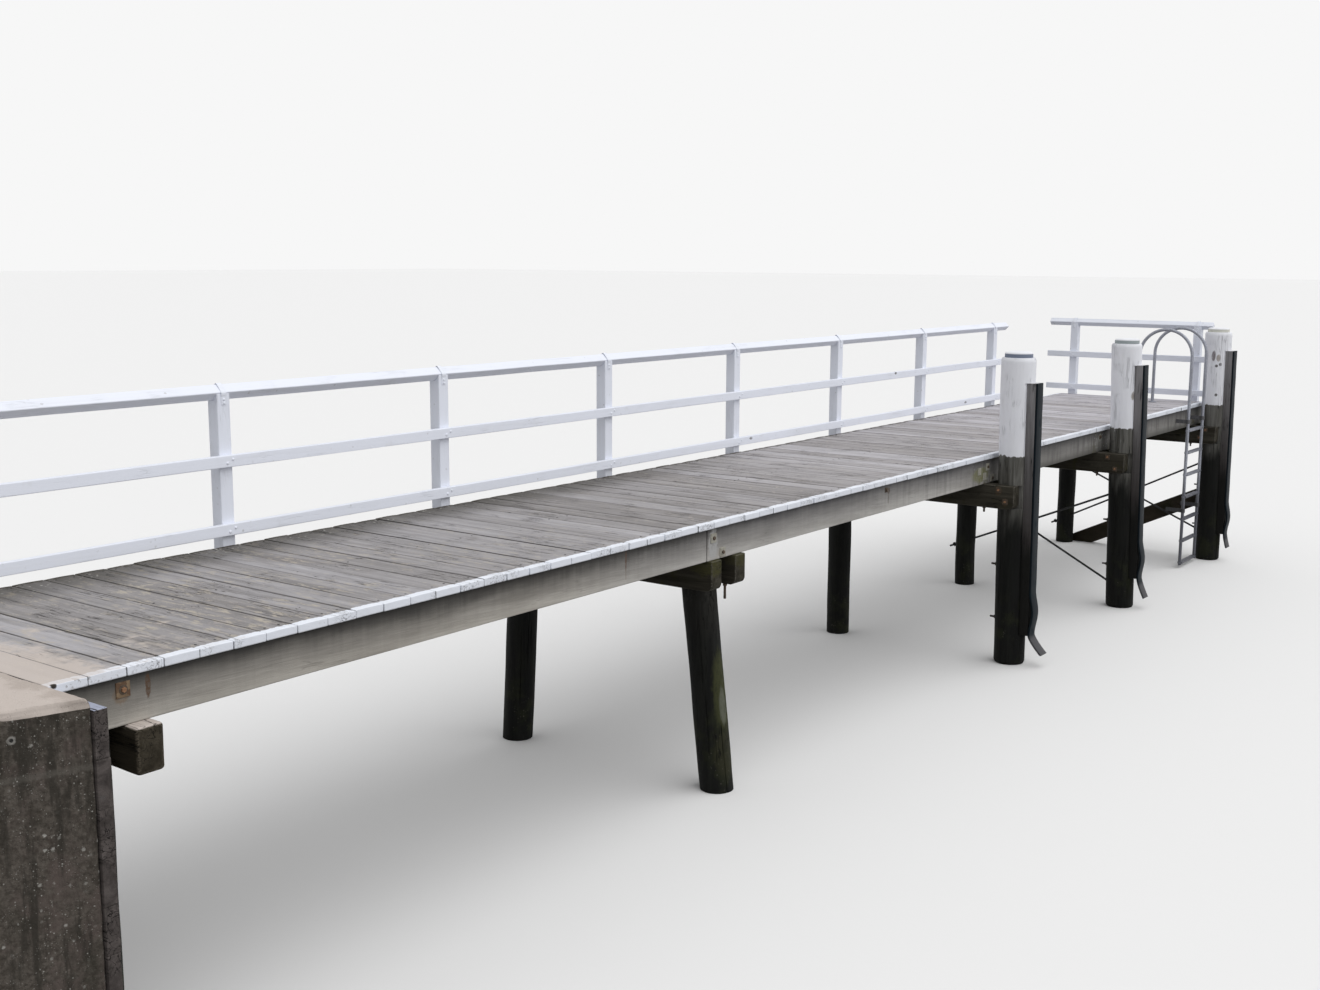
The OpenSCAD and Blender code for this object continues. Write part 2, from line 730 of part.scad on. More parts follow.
// Diagonal plank on the river faces of the fourth bent's piles, cut off at their feet
module brace_plank() {
    near_y = tall_pile_y - tall_pile_foot_radius / 2;
    far_y = far_pile_y[3] + far_pile_radius[3] / 2;
    slope = (brace_far_z - brace_near_z) / (far_pile_y[3] - tall_pile_y);
    near_z = brace_near_z + slope * (near_y - tall_pile_y);
    far_z = brace_far_z + slope * (far_y - far_pile_y[3]);
    rise = brace_depth / 2 / cos(atan(slope));
    foot_y = far_y - (far_z + rise) / slope;
    heel_y = near_y - (near_z - rise) / slope;
    translate([brace_x, 0, 0]) rotate([90, 0, 90])
        linear_extrude(height = brace_thickness)
            polygon(far_z - rise < 0
                ? concat([[near_y, near_z + rise], [near_y, near_z - rise], [heel_y, 0]],
                         far_z + rise < 0 ? [[foot_y, 0]] : [[far_y, 0], [far_y, far_z + rise]])
                : [[near_y, near_z + rise], [near_y, near_z - rise],
                   [far_y, far_z - rise], [far_y, far_z + rise]]);
}

module bent_4_brace() {
    color("saddlebrown") placed() brace_plank();
}

module near_girder_shore() {
    color("tan") placed() girder_piece(0, near_girder_y);
}

module near_girder_middle() {
    color("tan") placed() girder_piece(1, near_girder_y);
}

module near_girder_river() {
    color("tan") placed() girder_piece(2, near_girder_y);
}

module middle_girders() {
    color("tan") placed() for (part = [0 : 2]) girder_piece(part, middle_girder_y);
}

module far_girders() {
    color("tan") placed() for (part = [0 : 2]) girder_piece(part, far_girder_y);
}

module deck_planks_1() {
    color("darkgray") placed() planks(0, bay_end(0));
}

module deck_planks_2() {
    color("darkgray") placed() planks(bay_end(0), bay_end(1));
}

module deck_planks_3() {
    color("darkgray") placed() planks(bay_end(1), bay_end(2));
}

module deck_planks_4() {
    color("darkgray") placed() planks(bay_end(2), plank_count);
}

module side_posts() {
    color("white") placed() at_side_posts() notched_post(girder_underside);
}

module side_top_rail() {
    color("white") placed()
        translate([side_rail_x[0], side_post_y + post_width / 2, rail_z])
            diamond_bar(side_rail_x[1] - side_rail_x[0]);
}

module side_plank_rail(z) {
    timber_x(side_rail_x[0], side_rail_x[1], side_post_y - rail_thickness, z,
             rail_thickness, rail_depth);
}

module side_mid_rail() {
    color("white") placed() side_plank_rail(deck_height + mid_rail_z);
}

module side_bottom_rail() {
    color("white") placed() side_plank_rail(deck_height + bottom_rail_z);
}

module end_posts() {
    color("white") placed() at_end_posts() notched_post(headstock_underside);
}

module end_top_rail() {
    color("white") placed()
        translate([end_post_x + post_width / 2, end_rail_y[0], rail_z]) rotate([0, 0, 90])
            diamond_bar(end_rail_y[1] - end_rail_y[0]);
}

module end_plank_rail(z) {
    timber_y(end_rail_y[0], end_rail_y[1], end_post_x - rail_thickness, z,
             rail_thickness, rail_depth);
}

module end_mid_rail() {
    color("white") placed() end_plank_rail(deck_height + mid_rail_z);
}

module end_bottom_rail() {
    color("white") placed() end_plank_rail(deck_height + bottom_rail_z);
}

module rail_straps() {
    color("lightgray") placed() {
        at_side_posts() strap();
        at_end_posts() strap();
    }
}

module pile_caps() {
    color("lightgray") placed()
        for (bent = [1 : bent_count - 1])
            raked(bent) translate([bent_x[bent], tall_pile_y, tall_pile_height]) pile_cap();
}

module fender_timbers() {
    color("dimgray") placed() for (bent = [1 : bent_count - 1]) fender_timber(bent);
}

module fender_rubbers() {
    color("black") placed() for (bent = [1 : bent_count - 1]) fender_rubber(bent);
}

module ladder_hoops() {
    color("silver") placed() for (x = hoop_x) hoop(x);
}

module ladder_rungs() {
    color("silver") placed() for (i = [1 : rung_count]) rung(i);
}

module ladder_brackets() {
    color("silver") placed() for (x = hoop_x) {
        stile_bar(x, bracket_z, stile_standoff + girder_setback);
        stile_bar(x, lug_z, lug_length);
    }
}

abutment_wall();
abutment_board();
sill_beam();
sill_piles();
bent_1_near_pile();
bent_1_far_pile();
bent_1_headstocks();
bent_2_near_pile();
bent_2_far_pile();
bent_2_headstocks();
bent_3_near_pile();
bent_3_far_pile();
bent_3_headstocks();
bent_4_near_pile();
bent_4_far_pile();
bent_4_headstocks();
bent_3_tie_rods();
bent_4_tie_rods();
bent_4_brace();
near_girder_shore();
near_girder_middle();
near_girder_river();
middle_girders();
far_girders();
deck_planks_1();
deck_planks_2();
deck_planks_3();
deck_planks_4();
side_posts();
side_top_rail();
side_mid_rail();
side_bottom_rail();
end_posts();
end_top_rail();
end_mid_rail();
end_bottom_rail();
rail_straps();
pile_caps();
fender_timbers();
fender_rubbers();
ladder_hoops();
ladder_rungs();
ladder_brackets();
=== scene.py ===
import math

import bpy
import numpy as np
from mathutils import Matrix, Vector


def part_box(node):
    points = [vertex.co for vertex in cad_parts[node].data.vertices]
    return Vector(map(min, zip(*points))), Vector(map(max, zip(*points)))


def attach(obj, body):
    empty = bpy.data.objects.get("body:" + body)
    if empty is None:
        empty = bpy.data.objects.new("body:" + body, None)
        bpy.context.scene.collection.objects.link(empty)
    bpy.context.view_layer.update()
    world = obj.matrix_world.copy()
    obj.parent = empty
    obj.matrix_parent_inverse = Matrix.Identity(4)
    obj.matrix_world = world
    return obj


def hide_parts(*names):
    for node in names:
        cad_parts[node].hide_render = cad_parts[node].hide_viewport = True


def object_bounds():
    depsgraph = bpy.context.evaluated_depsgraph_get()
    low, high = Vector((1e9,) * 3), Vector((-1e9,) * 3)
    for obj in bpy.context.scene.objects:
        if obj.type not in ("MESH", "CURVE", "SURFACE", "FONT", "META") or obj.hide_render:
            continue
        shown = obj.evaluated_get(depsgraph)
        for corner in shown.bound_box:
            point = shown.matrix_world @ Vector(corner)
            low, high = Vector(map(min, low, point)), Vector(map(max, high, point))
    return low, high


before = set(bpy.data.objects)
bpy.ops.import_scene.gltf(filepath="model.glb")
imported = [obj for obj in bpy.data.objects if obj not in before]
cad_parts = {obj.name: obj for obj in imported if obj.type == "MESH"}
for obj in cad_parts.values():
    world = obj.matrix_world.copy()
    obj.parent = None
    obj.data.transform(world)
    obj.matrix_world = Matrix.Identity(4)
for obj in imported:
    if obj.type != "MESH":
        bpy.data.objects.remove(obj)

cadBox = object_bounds()

# Wooden river jetty. Lengths are metres, X runs from the shore to the river,
# Y from the mooring side to the railing side, and Z is up from the pile feet.


def extent(node):
    # low and high corner of a node's box
    low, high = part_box(node)
    return np.array(low), np.array(high)


# Places taken from the frame

deckLow, deckHigh = extent("deck_planks_1")
plankGap = 0.005
plankPitch = 0.2
shoreX = deckLow[0] - plankGap / 2  # shore end of the deck
riverX = extent("deck_planks_4")[1][0] + plankGap / 2
nearY, farY = deckLow[1], deckHigh[1]  # mooring side and railing side plank ends
deckTop = deckHigh[2]
deckBottom = deckLow[2]
girderBottom = extent("near_girder_shore")[0][2]
headstockBottom = extent("bent_2_headstocks")[0][2]
boardTop = extent("abutment_board")[1][2]
railEnd = extent("side_top_rail")[1][0]
bentNames = ["bent_1", "bent_2", "bent_3", "bent_4"]
bentX = [sum(extent(b + "_headstocks"))[0] / 2 for b in bentNames]

# The tall piles: axis from the plank ends at deck level, radii, fender seat and outward rake
tallPile = {"axisOut": 0.188, "footRadius": 0.154, "topRadius": 0.17, "rise": 0.94,
            "seat": 0.12, "rake": (0.6, 1.4, 0.6)}
tallAxisY = nearY - tallPile["axisOut"]


def raked(points, index):
    # turns points with a tall pile about its axis at deck level, by the pile's rake
    angle = math.radians(tallPile["rake"][index])
    made = np.array(points, float)
    y, z = made[..., 1] - tallAxisY, made[..., 2] - deckTop
    made[..., 1] = tallAxisY + y * math.cos(angle) + z * math.sin(angle)
    made[..., 2] = deckTop - y * math.sin(angle) + z * math.cos(angle)
    return made


def tallAxis(index, z):
    # a tall pile at a height: its axis leans by the rake, and its radius grows evenly
    y = tallAxisY + (z - deckTop) * math.tan(math.radians(tallPile["rake"][index]))
    share = z / (deckTop + tallPile["rise"])
    return y, tallPile["footRadius"] + (tallPile["topRadius"] - tallPile["footRadius"]) * share


print("frame read: deck %.2f m by %.2f m" % (riverX - shoreX, farY - nearY))


# Makers: every piece is a set of surfaces worked out as whole arrays

def waves(points, seed, size, count=7):
    # smooth value of about -1 to 1: the mean of sine waves in random directions
    random = np.random.default_rng(seed)
    ways = random.normal(size=(count, 3))
    ways /= np.linalg.norm(ways, axis=1, keepdims=True)
    ways *= (2 * np.pi / (size * random.uniform(0.6, 1.6, count)))[:, None]
    return np.sin(points @ ways.T + random.uniform(0, 7, count)).mean(-1) * 1.7


def axisLines(length, radius, spacing):
    # grid lines along one edge of a block: three in each rounding, the rest evenly spaced
    edge = np.array([0, 0.5, 1, 1.4]) * radius
    steps = max(1, round((length - 2.8 * radius) / spacing))
    core = np.linspace(edge[-1], length - edge[-1], steps + 1)
    return np.concatenate([edge[:-1], core, length - edge[:-1][::-1]])


def blockSurface(size, radius, spacing):
    # rounded box: each point of a gridded box moves to the radius from the inner box
    lines = [axisLines(s, radius, d) for s, d in zip(size, spacing)]
    counts = [len(line) for line in lines]
    quads = []
    for axis in range(3):
        b, c = (axis + 1) % 3, (axis + 2) % 3
        j, k = np.meshgrid(np.arange(counts[b] - 1), np.arange(counts[c] - 1), indexing="ij")
        for side in (0, counts[axis] - 1):
            corners = []
            for dj, dk in ((0, 0), (1, 0), (1, 1), (0, 1)):
                index = [None, None, None]
                index[axis] = np.full(j.size, side)
                index[b] = j.ravel() + dj
                index[c] = k.ravel() + dk
                corners.append((index[0] * counts[1] + index[1]) * counts[2] + index[2])
            quad = np.stack(corners, 1)
            quads.append(quad if side else quad[:, ::-1])
    used, faces = np.unique(np.concatenate(quads), return_inverse=True)
    faces = faces.reshape(-1, 4)
    where = np.stack([lines[0][used // (counts[1] * counts[2])],
                      lines[1][used // counts[2] % counts[1]],
                      lines[2][used % counts[2]]], 1)
    inner = np.clip(where, radius, np.array(size) - radius)
    out = where - inner
    edge = (np.abs(out) > 1e-9).sum(1) > 1
    out *= radius / np.linalg.norm(out, axis=1, keepdims=True)
    return inner + out, faces, edge.astype(np.float32)


def blocks(lows, size, radius, spacing, seed=1, shape=None):
    # equal rounded blocks at several low corners; shape(points, number) may bend them
    local, faces, edge = blockSurface(size, radius, spacing)
    lows = np.atleast_2d(np.asarray(lows, float))
    points = lows[:, None] + local[None]
    number = np.arange(len(lows))[:, None]
    if shape is not None:
        points = shape(points, number)
    every = (faces[None] + (number * len(local))[:, :, None]).reshape(-1, 4)
    tone = np.random.default_rng(seed).uniform(0, 1, len(lows))
    return [points.reshape(-1, 3), every,
            {"edge": np.tile(edge, len(lows)), "tone": np.repeat(tone, len(local))}]


def rings(loops, tone=0.5):
    # closed loops of points, joined one to the next, each end shut by a fan to its middle
    loops = np.asarray(loops, float)
    m, n = loops.shape[:2]
    i, j = np.meshgrid(np.arange(m - 1), np.arange(n), indexing="ij")
    k = (j + 1) % n
    quads = np.stack([i * n + j, i * n + k, (i + 1) * n + k, (i + 1) * n + j], -1)
    turn = np.arange(n)
    after = (turn + 1) % n
    points = np.concatenate([loops.reshape(-1, 3), loops[:1].mean(1), loops[-1:].mean(1)])
    start, end = m * n, m * n + 1
    faces = [quads.reshape(-1, 4), np.stack([np.full(n, start), after, turn], 1),
             np.stack([np.full(n, end), (m - 1) * n + turn, (m - 1) * n + after], 1)]
    return [points, faces, {"tone": np.full(len(points), tone)}]


def around(sides, start=0.0):
    # cosine and sine of evenly spaced turns
    turn = np.arange(sides) * 2 * np.pi / sides + start
    return np.cos(turn), np.sin(turn)


def roundedOutline(width, height, radius, steps=4):
    # rectangle about its middle with four quarter-circle corners, anticlockwise
    turn = np.linspace(0, np.pi / 2, steps + 1)
    parts = []
    for quarter, (sx, sy) in enumerate(((1, 1), (-1, 1), (-1, -1), (1, -1))):
        angle = turn + quarter * np.pi / 2
        parts.append(np.stack([sx * (width / 2 - radius) + radius * np.cos(angle),
                               sy * (height / 2 - radius) + radius * np.sin(angle)], 1))
    return np.concatenate(parts)


def sweep(outline, path, side, tone=0.5):
    # outline carried along a path: its first axis is square to the path, its second is "side"
    path = np.asarray(path, float)
    side = np.asarray(side, float)
    along = np.gradient(path, axis=0)
    along /= np.linalg.norm(along, axis=1, keepdims=True)
    normal = np.cross(side, along)
    loops = (path[:, None] + outline[None, :, :1] * normal[:, None]
             + outline[None, :, 1:] * side)
    return rings(loops[:, ::-1], tone)


def tube(path, radius, side, sides):
    # circle carried along a path
    c, s = around(sides)
    return sweep(np.stack([c, s], 1) * radius, path, side)


def turned(places, directions, profile, sides, start=0.0):
    # profile of (radius, height) pairs turned about each place along its direction
    places = np.atleast_2d(np.asarray(places, float))
    directions = np.broadcast_to(np.asarray(directions, float), places.shape)
    directions = directions / np.linalg.norm(directions, axis=1, keepdims=True)
    helper = np.where(np.abs(directions[:, 2:]) > 0.9, [[1.0, 0, 0]], [[0, 0, 1.0]])
    u = np.cross(helper, directions)
    u /= np.linalg.norm(u, axis=1, keepdims=True)
    v = np.cross(directions, u)
    c, s = around(sides, start)
    profile = np.asarray(profile, float)
    tones = np.random.default_rng(3).uniform(0, 1, len(places))
    made = []
    for place, way, a, b, tone in zip(places, directions, u, v, tones):
        ring = c[:, None] * a + s[:, None] * b
        loops = place + profile[:, None, 1:] * way + profile[:, None, :1] * ring
        made.append(rings(loops, tone))
    return made


def addPiece(name, parts, material, node=None, held=True, angle=35):
    # joins surfaces into one mesh on the part's body; where it stands for a node, each point is
    # held inside the node's box
    points, sizes, corners, marks = [], [], [], {"tone": [], "edge": []}
    base = 0
    for partPoints, faces, values in parts:
        for group in faces if isinstance(faces, list) else [faces]:
            corners.append((group + base).ravel())
            sizes.append(np.full(len(group), group.shape[1]))
        points.append(partPoints)
        for key in marks:
            marks[key].append(values.get(key, np.zeros(len(partPoints))))
        base += len(partPoints)
    points, corners, sizes = map(np.concatenate, (points, corners, sizes))
    if node and held:
        points = np.clip(points, *extent(node))
    mesh = bpy.data.meshes.new(name)
    mesh.vertices.add(len(points))
    mesh.vertices.foreach_set("co", points.astype(np.float32).ravel())
    mesh.loops.add(len(corners))
    mesh.loops.foreach_set("vertex_index", corners.astype(np.int32))
    mesh.polygons.add(len(sizes))
    starts = np.concatenate([[0], np.cumsum(sizes)[:-1]])
    mesh.polygons.foreach_set("loop_start", starts.astype(np.int32))
    mesh.update(calc_edges=True)
    for key, values in marks.items():
        layer = mesh.attributes.new(key, "FLOAT", "POINT")
        layer.data.foreach_set("value", np.concatenate(values).astype(np.float32))
    mesh.shade_smooth()
    mesh.set_sharp_from_angle(angle=math.radians(angle))
    piece = bpy.data.objects.new(name, mesh)
    bpy.context.scene.collection.objects.link(piece)
    piece.data.materials.append(material)
    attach(piece, "root")
    if node:
        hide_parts(node)


# Shader helpers: each one adds nodes to the tree that lies on the bench

bench = {}


def plug(socket, value):
    # links a socket or sets its value; a colour of three numbers is made opaque
    if isinstance(value, bpy.types.NodeSocket):
        bench["tree"].links.new(value, socket)
    elif socket.type == "RGBA":
        socket.default_value = (*value[:3], 1)
    else:
        socket.default_value = value


def put(kind, inputs=None, **settings):
    # one node, with its settings, and values or links for its inputs
    made = bench["tree"].nodes.new("ShaderNode" + kind)
    for key, value in settings.items():
        setattr(made, key, value)
    for key, value in (inputs or {}).items():
        plug(made.inputs[key], value)
    return made


def maths(operation, *values, clamp=False):
    # one operation on up to three values
    made = put("Math", dict(enumerate(values)), operation=operation, use_clamp=clamp)
    return made.outputs[0]


def chain(operation, values, clamp=False):
    # the operation carried through the values from left to right, the last result clamped
    total = values[0]
    for number, value in enumerate(values[1:], 2):
        total = maths(operation, total, value, clamp=clamp and number == len(values))
    return total


def times(*values, clamp=False):
    # product
    return chain("MULTIPLY", values, clamp)


def plus(*values, clamp=False):
    # sum
    return chain("ADD", values, clamp)


def most(*values):
    # largest value
    return chain("MAXIMUM", values)


def minus(first, second):
    # difference
    return maths("SUBTRACT", first, second)


def swing(value, reach):
    # noise of 0 to 1 made a swing of half the reach to each side of 0
    return times(minus(value, 0.5), reach)


def vectorMaths(operation, *values):
    # one operation on vectors
    made = put("VectorMath", dict(enumerate(values)), operation=operation)
    return made.outputs["Value" if operation == "LENGTH" else "Vector"]


def blend(amount, first, second, mode="MIX"):
    # colour between two, by an amount of 0 to 1; in the MULTIPLY mode the second is a tint
    made = put("Mix", data_type="RGBA", blend_type=mode)
    for place, value in ((0, amount), (6, first), (7, second)):
        plug(made.inputs[place], value)
    return made.outputs[2]


def remap(value, low, high, toLow, toHigh, kind="SMOOTHSTEP"):
    # value carried from one range to another, eased at both ends
    made = put("MapRange", {0: value, 1: low, 2: high, 3: toLow, 4: toHigh}, interpolation_type=kind)
    return made.outputs[0]


def rise(value, low, high, top=1.0):
    # eased from 0 to the top
    return remap(value, low, high, 0.0, top)


def fall(value, low, high, top=1.0):
    # eased from the top to 0
    return remap(value, low, high, top, 0.0)


def ramp(value, low, high, toLow=0.0, toHigh=1.0):
    # straight from one range to another
    return remap(value, low, high, toLow, toHigh, "LINEAR")


def noise(position, scale, detail=3.0, rough=0.55, distortion=0.0):
    # fractal noise of 0 to 1
    made = put("TexNoise", {"Vector": position, "Scale": scale, "Detail": detail,
                            "Roughness": rough, "Distortion": distortion})
    return made.outputs[0]


def stretched(position, scale):
    # position multiplied axis by axis, so that a small factor draws a pattern out
    return vectorMaths("MULTIPLY", position, scale)


def xyz(position):
    # the three coordinates
    return put("SeparateXYZ", {0: position}).outputs


def upward():
    # height of the unit normal: 1 on level tops
    return xyz(put("NewGeometry").outputs["Normal"])[2]


def grey(value):
    # equal red, green and blue
    return (value, value, value)


def newGroup(name, inputs, outputs):
    # node group laid on the bench: a number makes a value input, and the rest are vectors
    group = bpy.data.node_groups.new(name, "ShaderNodeTree")
    for key, value in inputs.items():
        kind = "Float" if isinstance(value, float) else "Vector"
        socket = group.interface.new_socket(key, in_out="INPUT", socket_type="NodeSocket" + kind)
        if value is not None:
            socket.default_value = value
    for key in outputs:
        kind = "Color" if key == "Colour" else "Float"
        group.interface.new_socket(key, in_out="OUTPUT", socket_type="NodeSocket" + kind)
    bench["tree"] = group
    return group, group.nodes.new("NodeGroupInput").outputs


def closeGroup(group, **results):
    # sends the results to the outputs of the same names
    out = group.nodes.new("NodeGroupOutput").inputs
    for key, value in results.items():
        plug(out[key], value)
    return group


def useGroup(group, position, **inputs):
    # a group placed in a material with its own values
    return put("Group", {"Position": position, **inputs}, node_tree=group).outputs


# Groups that several materials use

grainPattern = {"fibre": 150.0, "streak": 17.0, "check": 42.0, "break": 3.1, "checkWidth": 0.022,
                "shift": (41.0, 13.0, 27.0)}


def makeTimberGrain():
    # fibres, streaks and drying checks, drawn out by Stretch along the grain and moved by Tone;
    # a check is where a noise passes its middle, broken up by a wider noise
    group, given = newGroup("timberGrain", {"Position": None, "Stretch": (1, 1, 1), "Tone": 0.0,
                                            "Fineness": 1.0}, ("Fibre", "Streak", "Check", "Height"))
    shift = put("CombineXYZ", {axis: times(given["Tone"], by)
                               for axis, by in enumerate(grainPattern["shift"])})
    shifted = vectorMaths("ADD", given["Position"], shift.outputs[0])
    along = vectorMaths("MULTIPLY", shifted, given["Stretch"])
    fine = given["Fineness"]
    fibre = noise(along, times(fine, grainPattern["fibre"]), 4.0, 0.7)
    streak = noise(along, times(fine, grainPattern["streak"]), 5.0, 0.6, 0.6)
    ridge = maths("ABSOLUTE", minus(noise(along, times(fine, grainPattern["check"]), 2.0, 0.5, 0.35), 0.5))
    broken = noise(shifted, grainPattern["break"])
    check = times(fall(ridge, 0.0, grainPattern["checkWidth"]), rise(broken, 0.5, 0.62))
    height = minus(plus(times(fibre, 0.5), times(streak, 0.5)), times(check, 1.6))
    return closeGroup(group, Fibre=fibre, Streak=streak, Check=check, Height=height)


def makeWeatherStain():
    # soft stains: wide noise above a limit that falls as Amount grows, and a finer speckle
    group, given = newGroup("weatherStain", {"Position": None, "Scale": 3.0, "Amount": 0.5},
                            ("Mask", "Speckle"))
    wide = noise(given["Position"], given["Scale"], 5.0, 0.62, 0.4)
    limit = minus(0.78, times(given["Amount"], 0.45))
    small = noise(given["Position"], times(given["Scale"], 19.0))
    return closeGroup(group, Mask=rise(wide, limit, plus(limit, 0.16)), Speckle=rise(small, 0.35, 0.7))


def makeLichenSpots():
    # pale crusty spots: cells of a Voronoi pattern that lie near their middle, some left out
    group, given = newGroup("lichenSpots", {"Position": None, "Scale": 60.0, "Amount": 0.4}, ("Mask",))
    cells = put("TexVoronoi", {"Vector": given["Position"], "Scale": given["Scale"], "Randomness": 1.0})
    ragged = noise(given["Position"], times(given["Scale"], 4.0), 2.0)
    reach = plus(cells.outputs["Distance"], swing(ragged, 0.5))
    pick = put("SeparateColor", {0: cells.outputs["Color"]}).outputs[0]
    patch = noise(given["Position"], times(given["Scale"], 0.09))
    chosen = times(rise(pick, minus(1.0, given["Amount"]), 1.0), rise(patch, 0.42, 0.6))
    return closeGroup(group, Mask=times(fall(reach, 0.16, 0.34), chosen, clamp=True))


rustTones = {"darkLow": (0.035, 0.018, 0.012), "darkHigh": (0.075, 0.036, 0.022),
             "freshLow": (0.2, 0.075, 0.022), "freshHigh": (0.36, 0.15, 0.05)}


def makeRustBloom():
    # dark scale that turns to an orange bloom where the noise and Fresh are high
    group, given = newGroup("rustBloom", {"Position": None, "Scale": 40.0, "Fresh": 0.5},
                            ("Colour", "Height"))
    wide = noise(given["Position"], given["Scale"], 5.0, 0.65)
    fine = noise(given["Position"], times(given["Scale"], 6.0))
    bloom = rise(plus(wide, times(given["Fresh"], 0.35)), 0.45, 0.85)
    shade = blend(bloom, blend(fine, rustTones["darkLow"], rustTones["darkHigh"]),
                  blend(fine, rustTones["freshLow"], rustTones["freshHigh"]))
    return closeGroup(group, Colour=shade, Height=plus(wide, times(fine, 0.4)))


def makeTideBands():
    # height bands with a ragged edge: wet and dark below High, weed in patches around Low
    group, given = newGroup("tideBands", {"Position": None, "High": 1.4, "Low": 0.6}, ("Wet", "Weed"))
    ragged = noise(stretched(given["Position"], (1, 1, 0.25)), 9.0, 4.0)
    level = plus(xyz(given["Position"])[2], swing(ragged, 0.5))
    wet = fall(level, minus(given["High"], 0.22), plus(given["High"], 0.22))
    patch = noise(given["Position"], 5.0, 4.0, 0.6)
    weed = times(rise(patch, 0.47, 0.62), fall(level, given["Low"], plus(given["Low"], 0.5)))
    return closeGroup(group, Wet=wet, Weed=weed)


sandLook = {"dark": (0.47, 0.41, 0.37), "pale": (0.6, 0.54, 0.5), "heap": 7.0, "grain": 420.0}


def makeBlownSand():
    # sand on upward faces, where a noise and Amount together are high
    group, given = newGroup("blownSand", {"Position": None, "Amount": 0.5}, ("Mask", "Colour"))
    up = upward()
    heap = plus(noise(given["Position"], sandLook["heap"], 6.0, 0.65), times(given["Amount"], 0.9))
    grains = noise(given["Position"], sandLook["grain"], 2.0)
    return closeGroup(group, Mask=times(rise(heap, 0.86, 1.12), rise(up, 0.45, 0.85)),
                      Colour=blend(grains, sandLook["dark"], sandLook["pale"]))


timberGrain = makeTimberGrain()
weatherStain = makeWeatherStain()
lichenSpots = makeLichenSpots()
rustBloom = makeRustBloom()
tideBands = makeTideBands()
blownSand = makeBlownSand()


def stains(position, scale, amount):
    # soft stains: a mask and its finer speckle
    return useGroup(weatherStain, position, Scale=scale, Amount=amount)


def crust(position, scale, amount):
    # mask of crusty spots
    return useGroup(lichenSpots, position, Scale=scale, Amount=amount)["Mask"]


def crusts(position, base, look):
    # spots of several sizes (scale, amount, strength) laid over the base
    for scale, amount, strength in look["spots"]:
        base = blend(times(crust(position, scale, amount), strength), base, look["spot"])
    return base


def apart(first, second):
    # distance between two values
    return maths("ABSOLUTE", minus(first, second))


def newMaterial(name, roughness=0.85, specular=0.25):
    # a Principled material whose tree and shader are laid on the bench, and the object position
    # that its patterns read
    made = bpy.data.materials.new(name)
    made.use_nodes = True
    bench["tree"] = made.node_tree
    made.node_tree.nodes.clear()
    shader = put("BsdfPrincipled", {"Roughness": roughness, "Specular IOR Level": specular})
    plug(put("OutputMaterial").inputs[0], shader.outputs[0])
    bench["shader"] = shader.inputs
    return made, put("TexCoord").outputs["Object"]


def mark(name):
    # a value that the mesh carries at each point
    return put("Attribute", attribute_name=name).outputs["Fac"]


def relief(height, strength, distance):
    # a bump of the height
    bump = put("Bump", {"Strength": strength, "Distance": distance, "Height": height})
    plug(bench["shader"]["Normal"], bump.outputs[0])


def paintBase(shade, roughness=None, metallic=None):
    # the finished colour, and a roughness and metallic value where they change over the surface
    for key, value in (("Base Color", shade), ("Roughness", roughness), ("Metallic", metallic)):
        if value is not None:
            plug(bench["shader"][key], value)


def jettyPlace(x, y, z):
    # from the shore end of the deck, the mooring-side plank ends and the pile feet
    return shoreX + x, nearY + y, z


def spot(position, ragged, centre, radii):
    # 1 inside an ellipsoid about a place, fading over its outer third; ragged breaks the edge
    share = vectorMaths("DIVIDE", vectorMaths("SUBTRACT", position, jettyPlace(*centre)), radii)
    return fall(plus(vectorMaths("LENGTH", share), times(ragged, 0.9)), 1.05, 1.35)


def spots(position, ragged, base, marks):
    # lays each mark (place, radii, strength, colour) over the base, weaker in patches
    for centre, radii, strength, tint in marks:
        patchy = remap(ragged, 0.35, 0.55, 0.55 * strength, strength)
        base = blend(times(patchy, spot(position, ragged, centre, radii)), base, tint)
    return base


def timberBase(position, look, stretch):
    # streaks between the look's dark and pale colours, brightened along the fibres
    fibres = useGroup(timberGrain, position, Stretch=stretch, Tone=mark("tone"),
                      Fineness=look["fineness"])
    base = blend(rise(fibres["Streak"], *look["streaks"]), look["dark"], look["pale"])
    bright = rise(fibres["Fibre"], 0.3, look["fibreTop"])
    return fibres, blend(bright, base, grey(look["brighten"]), "MULTIPLY")


# Deck timber

